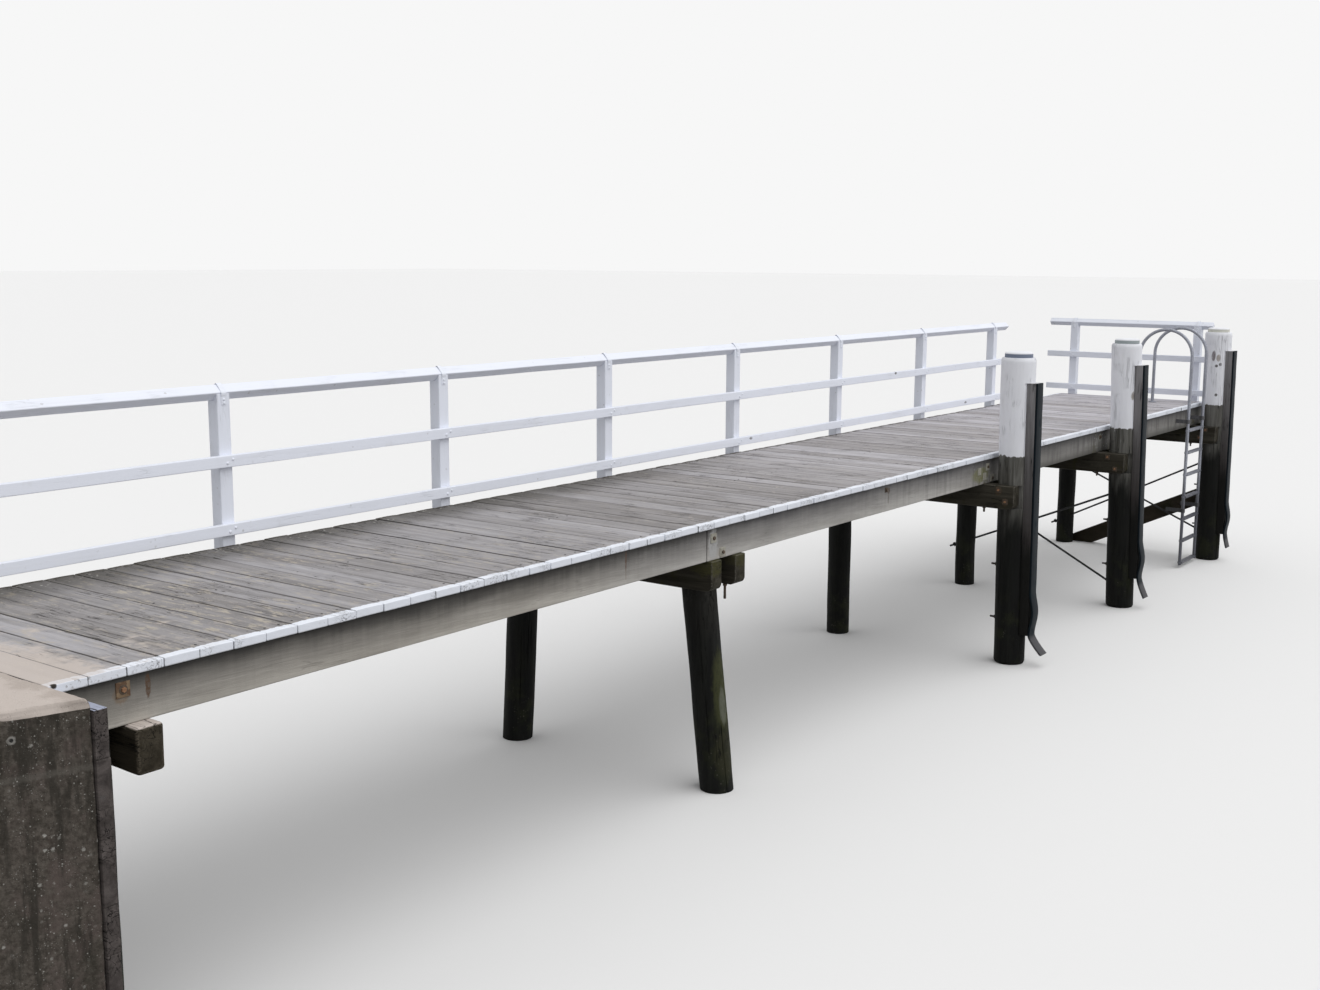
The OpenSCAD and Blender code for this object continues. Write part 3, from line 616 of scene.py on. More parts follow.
deckLook = {
    "pale": (0.425, 0.42, 0.435), "dark": (0.215, 0.21, 0.21),
    "streaks": (0.12, 0.82), "brighten": 1.22, "fibreTop": 0.75, "fineness": 1.0,
    "warm": (0.8, 0.785, 0.76), "bleached": (1.1, 1.1, 1.11),
    # tints along the deck, darker and then lighter towards the river
    "wear": ((0.05, 0.4, (0.85, 0.838, 0.845)), (5.2, 8.0, (1.19, 1.19, 1.2)),
             (8.0, 16.8, (1.19, 1.19, 1.23))),  # from, to, tint
    "stain": (0.19, 0.175, 0.165), "crack": (0.045, 0.04, 0.037),
    "grime": (0.05, 0.046, 0.043), "jointGrime": (0.0035, 0.011),  # reach from the middle of a joint
    "spot": (0.58, 0.54, 0.47), "scuff": (0.52, 0.475, 0.395), "crumb": (0.62, 0.6, 0.56),
    "spots": ((16.0, 0.2, 0.5), (42.0, 0.5, 0.55), (90.0, 0.4, 0.5)),  # scale, amount, strength
    "edge": (0.43, 0.425, 0.4), "litter": (0.055, 0.046, 0.035),
    "litterFrom": 5.5, "litterTo": 9.5,  # it thins out between these
    "paint": (0.77, 0.8, 0.87), "paintDirty": (0.56, 0.55, 0.55),
    "strip": 0.055, "farStrip": 0.045,  # width of the painted strips on top of the planks
    # hole: a spot of painted shade for a hole in the first plank's end
    "sandReach": 2.6, "hole": (0.03, 0.01, 2.07), "holeSize": 0.02, "holeTone": (0.03, 0.025, 0.02),
}


def deckBoards(position, x, look):
    # bare planks: streaked timber toned plank by plank, with stains, cracks, flecks and scuffs
    fibres, base = timberBase(position, look, (1, 0.045, 1))
    stain = stains(stretched(position, (1, 0.4, 1)), 2.2, 0.5)
    base = blend(1.0, base, blend(mark("tone"), look["bleached"], look["warm"]), "MULTIPLY")
    base = blend(times(stain["Mask"], 0.5), base, look["stain"])
    long = noise(stretched(position, (1, 0.06, 1)), 16.0, 3.0, 0.5, 0.3)
    crack = times(fall(apart(long, 0.5), 0.0, 0.007), rise(noise(position, 1.9), 0.55, 0.63))
    base = blend(most(crack, fibres["Check"]), base, look["crack"])
    base = crusts(position, base, look)
    scuffs = noise(stretched(position, (1, 0.3, 1)), 24.0, 6.0, 0.72)
    patch = noise(stretched(position, (1, 0.6, 1)), 1.8)
    scuffed = times(rise(scuffs, 0.51, 0.63), rise(patch, 0.42, 0.58),
                    remap(x, shoreX + 1.2, shoreX + 5.0, 0.85, 0.18))
    base = blend(scuffed, base, look["scuff"])
    # darker from the first planks on, then lighter again in steps from about 5 m towards the river
    for first, last, tint in look["wear"]:
        base = blend(ramp(x, shoreX + first, shoreX + last), base, tint, "MULTIPLY")
    return fibres, base


def deckTimber(look):
    # bare planks under joint grime, litter, sand and the white strips, each laid on by its mask
    made, position = newMaterial("deckTimber")
    x, y, z = xyz(position)
    fibres, base = deckBoards(position, x, look)
    # grime along the joints, heavy at some and light at others
    count = maths("DIVIDE", minus(x, shoreX), plankPitch)
    share = maths("FRACT", count)
    each = put("TexWhiteNoise", {"W": maths("ROUND", count)}, noise_dimensions="1D").outputs["Value"]
    joint = times(maths("MINIMUM", share, minus(1.0, share)), plankPitch)
    grime = times(fall(joint, *look["jointGrime"], 0.95), ramp(each, 0.3, 0.7, 0.15, 1.0),
                  remap(fibres["Fibre"], 0.25, 0.55, 0.35, 1.0))
    base = blend(grime, base, look["grime"])
    # leaf litter along the railing side
    litter = noise(stretched(position, (1, 1.6, 1)), 60.0, 4.0, 0.7)
    side = times(rise(maths("MULTIPLY_ADD", litter, 0.2, y), farY - 0.5, farY),
                 fall(x, shoreX + look["litterFrom"], shoreX + look["litterTo"]))
    base = blend(side, base, look["edge"], "MULTIPLY")
    brink = rise(maths("MULTIPLY_ADD", litter, 0.12, y), farY + 0.005, farY + 0.04)
    base = blend(brink, base, look["litter"])
    scattered = times(crust(position, 32.0, 0.6), rise(y, farY - 0.35, farY - 0.04, 0.9),
                      remap(x, shoreX + 5.0, shoreX + 9.0, 1.0, 0.3))
    base = blend(scattered, base, look["crumb"])
    # sand walked on from the shore
    amount = times(remap(x, shoreX + 0.05, shoreX + 0.45, 1.0, 0.44),
                   remap(x, shoreX + 0.45, shoreX + look["sandReach"], 1.0, 0.4),
                   remap(y, nearY, nearY + 1.6, 1.0, 0.75))
    sand = useGroup(blownSand, position, Amount=amount)
    base = blend(times(sand["Mask"], 0.85), base, sand["Colour"])
    # white paint on the mooring-side ends, and on the far ends in the boarding gap
    ragged = noise(stretched(position, (1, 0.3, 1)), 38.0, 3.0, 0.6)
    reach = plus(y, swing(ragged, 0.03))
    strip = nearY + look["strip"]
    farStrip = farY - look["farStrip"]
    painted = most(ramp(reach, strip - 0.003, strip + 0.003, 1.0, 0.0),
                   times(ramp(reach, farStrip, farStrip + 0.007), ramp(x, railEnd - 0.1, railEnd)))
    wear = stains(position, 14.0, 0.24)
    chips = most(times(wear["Mask"], wear["Speckle"]), times(fibres["Check"], 0.8),
                 times(fall(x, shoreX, shoreX + 0.9, 0.75), rise(ragged, 0.54, 0.64)))
    lower = fall(z, deckBottom, deckBottom + 0.01, 0.55)
    cover = times(painted, minus(1.0, most(chips, lower)), clamp=True)
    dirty = rise(fibres["Streak"], 0.5, 0.8, 0.25)
    base = blend(cover, base, blend(dirty, look["paint"], look["paintDirty"]))
    base = blend(times(painted, fall(joint, 0.001, 0.0027, 0.8)), base, look["grime"])
    base = blend(times(sand["Mask"], painted, 0.6), base, sand["Colour"])
    # the hole in the first plank's end, drawn as a dark spot of painted shade
    hole = spot(position, ragged, look["hole"], (look["holeSize"],) * 3)
    base = blend(hole, base, look["holeTone"])
    paintBase(base, minus(0.88, times(cover, 0.3)))
    relief(plus(fibres["Height"], times(sand["Mask"], 0.5)), 0.8, 0.004)
    return made


# Girder timber

girderLook = {
    "pale": (0.455, 0.442, 0.425), "dark": (0.345, 0.332, 0.315),
    "streaks": (0.25, 0.75), "brighten": 1.2, "fibreTop": 0.75, "fineness": 1.0,
    "warm": (0.9, 0.86, 0.78), "drip": (0.085, 0.078, 0.07), "stain": (0.3, 0.285, 0.262),
    # top and topFar: painted shade under the planks, with moisture stain
    "top": (0.04, 0.038, 0.036), "topFar": (0.078, 0.076, 0.08),
    "far": (0.07, 0.068, 0.062), "moss": (0.075, 0.07, 0.025), "check": (0.03, 0.025, 0.02),
    "lichen": grey(0.42),
    "slant": 0.035,  # the grain runs out slowly towards the lower edge
    # rust and dirt at known places: place, radii, strength, colour
    "marks": (
        ((0.376, 0.03, 1.94), (0.05, 0.05, 0.06), 0.5, (0.2, 0.125, 0.065)),  # under the bearing bolt
        ((0.522, 0.03, 1.957), (0.019, 0.05, 0.085), 0.9, (0.095, 0.055, 0.033)),  # slot with rust
        ((4.198, 0.03, 1.955), (0.013, 0.05, 0.085), 0.8, (0.11, 0.065, 0.045)),
        ((4.198, 0.03, 1.865), (0.01, 0.05, 0.06), 0.35, (0.16, 0.12, 0.09)),
        ((5.225, 0.03, 1.91), (0.075, 0.05, 0.15), 0.8, (0.4, 0.4, 0.4)),  # pale past the splice
        ((5.213, 0.03, 1.953), (0.05, 0.05, 0.05), 0.8, (0.34, 0.33, 0.31)),
        ((5.332, 0.03, 1.833), (0.055, 0.05, 0.055), 0.7, (0.3, 0.27, 0.23)),
        ((7.903, 0.03, 1.969), (0.035, 0.05, 0.035), 0.85, (0.07, 0.05, 0.04)),  # knot
        ((7.903, 0.03, 1.9), (0.015, 0.05, 0.07), 0.55, (0.11, 0.09, 0.075)),
        ((9.79, 0.03, 1.89), (0.24, 0.05, 0.095), 0.75, (0.17, 0.17, 0.075)),  # lichen
        ((12.99, 0.03, 1.95), (0.07, 0.05, 0.06), 0.7, (0.3, 0.31, 0.27))),
}


def girderTimber(look):
    # streaked timber with slanted grain, shaded down from the planks, dripped on, and mossy at bents
    made, position = newMaterial("girderTimber")
    x, y, z = xyz(position)
    slanted = put("CombineXYZ", {0: x, 1: y, 2: maths("MULTIPLY_ADD", x, look["slant"], z)})
    fibres, base = timberBase(slanted.outputs[0], look, (0.04, 1, 1))
    wide = noise(stretched(position, (0.25, 1, 1)), 5.0, 4.0, 0.6)
    base = blend(rise(wide, 0.3, 0.75, 0.35), base, look["stain"])
    base = blend(fall(x, shoreX + 3.0, shoreX + 5.0, 0.6), base, look["warm"], "MULTIPLY")
    # drips from the deck edge, stronger towards the river
    drips = noise(stretched(position, (1, 1, 0.05)), 16.0, 4.0, 0.6)
    dripMask = times(rise(drips, 0.47, 0.7), rise(x, bentX[0] + 1.5, bentX[2], 0.9))
    base = blend(dripMask, base, look["drip"])
    # painted shade under the deck's overhang, with moisture stain, darkens it all the way up to the
    # planks; darker along the foot past the second bent
    lift = plus(z, swing(drips, 0.05), swing(wide, 0.1))
    top = blend(rise(x, shoreX + 3.0, shoreX + 6.5), look["top"], look["topFar"])
    base = blend(ramp(lift, girderBottom + 0.01, deckBottom - 0.014, 0.0, 0.97), base, top)
    # a painted shadow band just under the planks, in the first bay
    shade = times(rise(x, shoreX + 1.2, shoreX + 1.8), fall(x, shoreX + 4.5, shoreX + 6.0, 0.6),
                  rise(lift, deckBottom - 0.11, deckBottom - 0.02))
    base = blend(shade, base, look["top"])
    foot = times(fall(lift, girderBottom, girderBottom + 0.12),
                 rise(x, bentX[1] - 0.8, bentX[1] + 1.0, 0.9))
    base = blend(foot, base, look["far"])
    base = blend(rise(x, bentX[1] - 1.2, bentX[1] + 0.6, 0.3), base, look["far"])
    # moss and lichen near the bents
    damp = 0.0
    for bent in bentX[1:]:
        damp = most(damp, fall(apart(x, bent - 0.12), 0.15, 0.62))
    moss = stains(position, 9.0, 0.62)
    low = remap(z, girderBottom, deckBottom - 0.05, 1.0, 0.35)
    base = blend(times(moss["Mask"], damp, low, 0.8), base, look["moss"])
    base = blend(times(crust(position, 34.0, 0.5), damp, 0.8), base, look["lichen"])
    base = spots(position, noise(position, 45.0), base, look["marks"])
    paintBase(blend(times(fibres["Check"], 0.22), base, look["check"]))
    relief(fibres["Fibre"], 0.5, 0.004)
    return made


# Wet heavy timber: headstocks, sill, facing boards and brace

wetTimber = {"streaks": (0.3, 0.72), "brighten": 1.35, "fibreTop": 0.8, "fineness": 0.8,
             "check": (0.004, 0.004, 0.003), "sand": 0.0, "marks": ()}
headstockLook = {**wetTimber, "dark": (0.018, 0.016, 0.011), "pale": (0.056, 0.051, 0.04),
                 "moss": (0.038, 0.038, 0.012), "mossAmount": 0.55,
                 "edge": (0.16, 0.15, 0.135), "edgeAmount": 0.5,
                 "marks": (
                     ((5.22, 0.05, 1.76), (0.14, 0.25, 0.12), 0.6, (0.07, 0.068, 0.022)),
                     ((5.54, 0.0, 1.77), (0.12, 0.2, 0.1), 0.6, (0.06, 0.058, 0.022)),
                     ((9.88, -0.121, 1.735), (0.03, 0.045, 0.06), 0.6, (0.1, 0.07, 0.042)),
                     ((9.88, -0.193, 1.63), (0.03, 0.045, 0.05), 0.6, (0.1, 0.07, 0.042)))}
sillLook = {**wetTimber, "dark": (0.022, 0.018, 0.012), "pale": (0.055, 0.047, 0.034),
            "moss": (0.04, 0.036, 0.016), "mossAmount": 0.4,
            "edge": (0.13, 0.11, 0.085), "edgeAmount": 0.6, "sand": 0.85}
boardLook = {**wetTimber, "dark": (0.04, 0.034, 0.032), "pale": (0.095, 0.082, 0.078),
             "moss": (0.075, 0.078, 0.082), "mossAmount": 0.45,
             "edge": (0.1, 0.09, 0.08), "edgeAmount": 0.25, "top": (0.4, 0.43, 0.54)}
braceLook = {**wetTimber, "dark": (0.02, 0.017, 0.012), "pale": (0.052, 0.043, 0.032),
             "moss": (0.022, 0.024, 0.012), "mossAmount": 0.5,
             "edge": (0.09, 0.078, 0.06), "edgeAmount": 0.5}


def darkTimber(name, stretch, look):
    # wet heavy timber: streaks, moss in stains, worn arrises, sand or a pale top where the look has it
    made, position = newMaterial(name, specular=0.12)
    fibres, base = timberBase(position, look, stretch)
    moss = stains(position, 5.0, look["mossAmount"])
    base = blend(times(moss["Mask"], 0.7), base, look["moss"])
    if look["marks"]:
        base = spots(position, noise(position, 45.0), base, look["marks"])
    worn = times(mark("edge"), rise(fibres["Fibre"], 0.4, 0.6), look["edgeAmount"])
    base = blend(worn, base, look["edge"])
    if look["sand"]:
        sand = useGroup(blownSand, position, Amount=look["sand"])
        base = blend(sand["Mask"], base, sand["Colour"])
    if "top" in look:
        topmost = maths("GREATER_THAN", xyz(position)[2], boardTop - 0.03)
        base = blend(times(rise(upward(), 0.4, 0.8, 0.85), topmost), base, look["top"])
    paintBase(blend(times(fibres["Check"], 0.9), base, look["check"]))
    relief(fibres["Height"], 0.85, 0.007)
    return made


# Pile timber and its paint

pileLook = {
    "pale": (0.165, 0.163, 0.152), "dark": (0.058, 0.056, 0.049),
    "streaks": (0.3, 0.7), "brighten": 1.4, "fibreTop": 0.8, "fineness": 0.8,
    "wetDark": (0.003, 0.0032, 0.003), "wetPale": (0.01, 0.0105, 0.009),
    "weed": (0.03, 0.034, 0.014), "high": 1.5, "low": 0.35,  # levels of the tide bands
    "shell": (0.12, 0.115, 0.1), "shellTop": 0.6, "check": (0.004, 0.004, 0.003),
    "paint": (0.84, 0.85, 0.9), "paintGrime": (0.55, 0.53, 0.49), "ragged": 0.065,
    "marks": (
        # painted shadow on the top of the first bent's near pile, under the deck
        ((5.39, 0.2, 1.5), (0.3, 0.3, 0.45), 0.85, (0.012, 0.0115, 0.01)),
        ((5.39, 0.04, 0.78), (0.12, 0.11, 0.44), 0.75, (0.05, 0.054, 0.022)),  # green side
        ((5.385, 0.03, 0.66), (0.05, 0.06, 0.2), 0.6, (0.15, 0.155, 0.125)),
        ((5.36, -0.05, 0.3), (0.16, 0.16, 0.25), 0.5, (0.035, 0.034, 0.018))),
    "paintMarks": (  # chips and holes
        ((13.053, -0.314, 2.441), (0.05, 0.05, 0.07), 0.85, (0.24, 0.21, 0.17)),
        ((16.412, -0.18, 2.715), (0.04, 0.035, 0.09), 0.85, (0.12, 0.09, 0.095)),
        ((16.425, -0.24, 2.69), (0.03, 0.035, 0.06), 0.75, (0.26, 0.21, 0.165)),
        # holes: dark spots of painted shade
        ((16.417, -0.223, 2.586), (0.025, 0.025, 0.025), 0.95, (0.04, 0.035, 0.03)),
        ((16.435, -0.267, 2.606), (0.025, 0.025, 0.025), 0.95, (0.04, 0.035, 0.03)),
        ((16.423, -0.239, 2.207), (0.025, 0.025, 0.025), 0.95, (0.04, 0.035, 0.03))),
}


def pileTimber(name, painted, look):
    # round pile: weathered timber, black and weedy in the tide bands, white paint above the deck, and the
    # marks, with a painted shadow on the first bent's pile top
    made, position = newMaterial(name, 0.8, 0.12)
    z = xyz(position)[2]
    fibres, base = timberBase(position, look, (1, 1, 0.05))
    tide = useGroup(tideBands, position, High=look["high"], Low=look["low"])
    black = blend(rise(fibres["Streak"], 0.35, 0.7), look["wetDark"], look["wetPale"])
    base = blend(tide["Wet"], base, black)
    base = blend(times(tide["Weed"], 0.3), base, look["weed"])
    shell = times(crust(position, 55.0, 0.4), fall(z, 0.25, look["shellTop"], 0.6))
    base = blend(shell, base, look["shell"])
    rough = ramp(tide["Wet"], 0.0, 1.0, 0.9, 0.7)
    broken = noise(stretched(position, (1, 1, 0.4)), 36.0, 6.0, 0.8)
    base = spots(position, broken, base, look["marks"])
    base = blend(times(fibres["Check"], 0.9), base, look["check"])
    if painted:
        ragged = noise(stretched(position, (1, 1, 0.12)), 30.0, 3.0, 0.6)
        level = plus(z, swing(ragged, look["ragged"]))
        above = ramp(level, deckTop - 0.012, deckTop - 0.004)
        drip = times(rise(ragged, 0.7, 0.74, 0.7), rise(z, deckTop - 0.22, deckTop - 0.06))
        cover = times(most(above, drip), minus(1.0, times(fibres["Check"], 0.15)), clamp=True)
        grime = stains(stretched(position, (1, 1, 0.3)), 5.0, 0.42)
        coat = blend(times(grime["Mask"], 0.22), look["paint"], look["paintGrime"])
        coat = blend(rise(fibres["Streak"], 0.52, 0.8, 0.1), coat, look["paintGrime"])
        base = spots(position, broken, blend(cover, base, coat), look["paintMarks"])
        rough = minus(rough, times(cover, 0.2))
    paintBase(base, rough)
    relief(fibres["Height"], 0.8, 0.008)
    return made


# Railing paint

# the white carries a painted bluish cast of the cool sky shade
paintLook = {"white": (0.77, 0.8, 0.885), "grime": (0.58, 0.58, 0.59), "speck": (0.3, 0.29, 0.27),
             "woodDark": (0.16, 0.15, 0.14), "woodPale": (0.3, 0.29, 0.28),
             "marks": (  # holes and dark knots
                 # the holes' dark is painted shade; the knots are the wood's own colour
                 ((11.716, 2.0, 2.661), (0.035, 0.06, 0.02), 0.9, (0.06, 0.05, 0.045)),
                 ((8.712, 2.0, 2.199), (0.04, 0.06, 0.018), 0.85, (0.06, 0.05, 0.045)),
                 ((13.598, 2.0, 2.187), (0.05, 0.06, 0.018), 0.85, (0.06, 0.05, 0.045)),
                 ((5.905, 2.0, 3.05), (0.035, 0.06, 0.02), 0.8, (0.1, 0.08, 0.07)))}


def whitePaint(name, stretch, wearAmount, look):
    # brushed paint: a white coat with grime and specks, bare wood where stains and edges chip it
    made, position = newMaterial(name, 0.5, 0.45)
    fibres = useGroup(timberGrain, position, Stretch=stretch, Tone=mark("tone"))
    grime = stains(position, 3.5, 0.4)
    # the white coat carries a painted bluish cast of sky shade
    coat = blend(times(grime["Mask"], 0.28), look["white"], look["grime"])
    coat = blend(rise(fibres["Streak"], 0.5, 0.8, 0.22), coat, look["grime"])
    coat = blend(times(crust(position, 30.0, 0.1), 0.5), coat, look["speck"])
    wear = stains(position, 11.0, wearAmount)
    chips = times(wear["Mask"], maths("MULTIPLY_ADD", mark("edge"), 0.6, 0.4), clamp=True)
    bare = most(times(chips, 0.85), times(fibres["Check"], 0.12))
    wood = blend(fibres["Fibre"], look["woodDark"], look["woodPale"])
    base = spots(position, noise(position, 45.0), blend(bare, coat, wood), look["marks"])
    paintBase(base, maths("MULTIPLY_ADD", bare, 0.3, 0.5))
    relief(minus(fibres["Height"], times(bare, 0.6)), 0.35, 0.003)
    return made


# Concrete

concreteLook = {"dark": (0.044, 0.037, 0.03), "pale": (0.115, 0.1, 0.086),
                "stain": (0.026, 0.024, 0.017), "run": (0.028, 0.025, 0.02),
                "purple": (0.105, 0.082, 0.074), "top": (0.47, 0.412, 0.372),
                "spot": (0.42, 0.41, 0.38), "band": (0.13, 0.12, 0.105), "bandHeight": 1.79,
                "spots": ((34.0, 0.22, 0.9), (80.0, 0.3, 0.85), (160.0, 0.32, 0.6)),  # as the deck's
                "marks": (
                    ((-0.309, -0.223, 1.954), (0.024, 0.03, 0.024), 0.8, (0.3, 0.29, 0.27)),
                    ((-0.309, -0.223, 1.954), (0.012, 0.02, 0.012), 0.95, (0.01, 0.01, 0.01)))}


def concrete(look):
    # damp cast wall: fine grain, stains and runs, a pour line, lichen, and sand lying on top
    made, position = newMaterial("castConcrete", 0.92, 0.2)
    stain = stains(position, 3.2, 0.6)
    fine = noise(position, 38.0, 6.0, 0.7)
    base = blend(rise(fine, 0.3, 0.7), look["dark"], look["pale"])
    base = blend(times(stain["Mask"], 0.6), base, look["stain"])
    base = blend(rise(noise(position, 4.5, 4.0, 0.6), 0.5, 0.66, 0.7), base, look["purple"])
    runs = noise(stretched(position, (1, 1, 0.16)), 14.0, 5.0, 0.65)
    base = blend(rise(runs, 0.48, 0.64, 0.8), base, look["run"])
    x, y, z = xyz(position)
    away = apart(maths("MULTIPLY_ADD", fine, 0.02, z), look["bandHeight"])
    base = blend(fall(away, 0.006, 0.022, 0.4), base, look["band"])
    base = crusts(position, base, look)
    broken = noise(position, 60.0)
    base = spots(position, broken, base, look["marks"])
    inland = remap(maths("MULTIPLY_ADD", broken, 0.08, x), shoreX - 0.2, shoreX + 0.04, 0.9, 0.45)
    sand = useGroup(blownSand, position, Amount=inland)
    base = blend(rise(upward(), 0.3, 0.9, 0.93), base, look["top"])
    pits = put("TexVoronoi", {"Vector": position, "Scale": 55.0}).outputs["Distance"]
    paintBase(blend(sand["Mask"], base, sand["Colour"]))
    relief(plus(fine, rise(pits, 0.0, 0.25, 0.35)), 0.9, 0.008)
    return made


# Metal

galvanisedLook = {"dark": (0.23, 0.24, 0.275), "pale": (0.36, 0.375, 0.43),
                  "stain": (0.14, 0.145, 0.16), "wet": (0.035, 0.035, 0.045), "cell": 130.0,
                  "high": 1.05, "rust": 0.0, "fresh": 0.1, "metal": 0.55, "rough": 0.42}
bracketLook = {"dark": (0.085, 0.085, 0.09), "pale": (0.13, 0.13, 0.14),
               "stain": (0.04, 0.036, 0.034), "wet": (0.02, 0.02, 0.022), "cell": 130.0,
               "high": 1.05, "rust": 0.15, "fresh": 0.1, "metal": 0.2, "rough": 0.65}
rodLook = {"dark": (0.018, 0.018, 0.02), "pale": (0.035, 0.034, 0.036),
           "stain": (0.03, 0.02, 0.015), "wet": (0.012, 0.012, 0.013), "cell": 130.0,
           "high": 0.9, "rust": 0.25, "fresh": 0.0, "metal": 0.1, "rough": 0.8}
boltLook = {"dark": (0.05, 0.036, 0.026), "pale": (0.1, 0.07, 0.047),
            "stain": (0.04, 0.026, 0.019), "wet": (0.02, 0.015, 0.012), "cell": 130.0,
            "high": 1.3, "rust": 0.45, "fresh": 0.25, "metal": 0.1, "rough": 0.75}
tanLook = {**boltLook, "dark": (0.095, 0.05, 0.026), "pale": (0.22, 0.155, 0.092),
           "stain": (0.085, 0.045, 0.026), "cell": 38.0,
           "high": 0.7, "rust": 0.1, "fresh": 0.4, "metal": 0.0, "rough": 0.85}
orangeLook = {**tanLook, "dark": (0.2, 0.1, 0.05), "pale": (0.31, 0.165, 0.085),
              "stain": (0.16, 0.08, 0.042), "cell": 130.0, "fresh": 0.5}
plateLook = {**boltLook, "dark": (0.26, 0.25, 0.21), "pale": (0.38, 0.37, 0.32),
             "stain": (0.1, 0.08, 0.06), "high": 0.7, "rust": 0.2, "fresh": 0.2, "rough": 0.7}
# strap paint as the railing's white, with the same painted bluish cast of sky shade
strapLook = {"dark": (0.74, 0.77, 0.85), "pale": (0.78, 0.81, 0.89),
             "stain": (0.68, 0.7, 0.75), "wet": (0.5, 0.5, 0.5), "cell": 130.0,
             "high": 0.0, "rust": 0.0, "fresh": 0.3, "metal": 0.0, "rough": 0.5}


def steel(name, look):
    # metal in cells of two tones with upright streaks, rusted in stains and darker below "high"
    made, position = newMaterial(name, 0.5, 0.5)
    cells = put("TexVoronoi", {"Vector": position, "Scale": look["cell"]}).outputs["Color"]
    streak = noise(stretched(position, (1, 1, 0.15)), 24.0, 4.0, 0.6)
    base = blend(put("SeparateColor", {0: cells}).outputs[0], look["dark"], look["pale"])
    base = blend(rise(streak, 0.5, 0.75, 0.6), base, look["stain"])
    bloom = useGroup(rustBloom, position, Scale=30.0, Fresh=look["fresh"])
    rusty = stains(position, 9.0, look["rust"])["Mask"]
    wet = useGroup(tideBands, position, High=look["high"], Low=0.4)["Wet"]
    base = blend(rusty, base, bloom["Colour"])
    base = blend(times(wet, 0.75), base, look["wet"])
    metal = times(look["metal"], minus(1.0, rusty), minus(1.0, times(wet, 0.7)))
    rough = plus(look["rough"], times(rusty, 0.3), clamp=True)
    paintBase(base, rough, metal)
    relief(plus(streak, times(bloom["Height"], rusty)), 0.4, 0.002)
    return made


capLook = {"rims": ((0.17, 0.2, 0.27), (0.32, 0.36, 0.37), (0.6, 0.6, 0.54)),  # one to a cap
           "rimStain": (0.11, 0.12, 0.15), "top": (0.78, 0.79, 0.83), "topStain": (0.55, 0.55, 0.54),
           "topFrom": 0.036}


def capMetal(look):
    # stained grey rim, its tone set cap by cap, and a white weathered top on all that faces up
    made, position = newMaterial("capMetal", 0.55, 0.4)
    stain = stains(position, 16.0, 0.5)
    x, y, z = xyz(position)
    rim = blend(stain["Mask"], look["rims"][0], look["rimStain"])
    for before, after, tone in zip(bentX[1:], bentX[2:], look["rims"][1:]):
        rim = blend(rise(x, before + 1, after - 1), rim, tone)
    top = blend(times(stain["Mask"], 0.25), look["top"], look["topStain"])
    height = minus(z, deckTop + tallPile["rise"] + look["topFrom"])
    white = most(rise(upward(), 0.25, 0.6), rise(height, -0.002, 0.003))
    paintBase(blend(white, rim, top))
    relief(noise(position, 60.0, 4.0), 0.3, 0.002)
    return made


# Fender timber and rubber

fenderLook = {"dark": (0.13, 0.127, 0.13), "pale": (0.27, 0.262, 0.268),
              "streaks": (0.3, 0.7), "brighten": 1.3, "fibreTop": 0.8, "fineness": 0.9,
              "brown": (0.048, 0.041, 0.039), "brownFrom": 1.4, "brownTo": 2.65,
              "wet": (0.01, 0.01, 0.009), "top": (0.58, 0.58, 0.6), "check": (0.01, 0.01, 0.01)}
rubberLook = {"dark": (0.004, 0.008, 0.012), "scuff": (0.011, 0.019, 0.024),
              "speckle": (0.018, 0.022, 0.025), "tail": (0.085, 0.083, 0.088), "tailTop": 0.32}


def fenderWood(look):
    # streaked timber that turns brown downwards, black in the wet band and pale on its top end
    made, position = newMaterial("fenderTimber", specular=0.15)
    fibres, base = timberBase(position, look, (1, 1, 0.04))
    tide = useGroup(tideBands, position, High=1.25, Low=0.5)
    brown = ramp(xyz(position)[2], look["brownFrom"], look["brownTo"], 0.86, 0.0)
    base = blend(brown, base, look["brown"])
    base = blend(tide["Wet"], base, look["wet"])
    base = blend(rise(upward(), 0.5, 0.9), base, look["top"])
    paintBase(blend(times(fibres["Check"], 0.9), base, look["check"]))
    relief(fibres["Height"], 0.8, 0.006)
    return made


def fenderRubber(look):
    # black belt with scuffs, greyed below the height where its tail hangs free
    made, position = newMaterial("blackRubber", 0.7, 0.06)
    scuff = stains(stretched(position, (1, 1, 0.4)), 10.0, 0.5)
    base = blend(times(scuff["Mask"], 0.8), look["dark"], look["scuff"])
    base = blend(times(scuff["Speckle"], 0.25), base, look["speckle"])
    hanging = fall(xyz(position)[2], look["tailTop"] - 0.06, look["tailTop"], 0.85)
    paintBase(blend(hanging, base, look["tail"]), ramp(scuff["Mask"], 0.0, 1.0, 0.45, 0.75))
    relief(noise(position, 90.0), 0.3, 0.002)
    return made


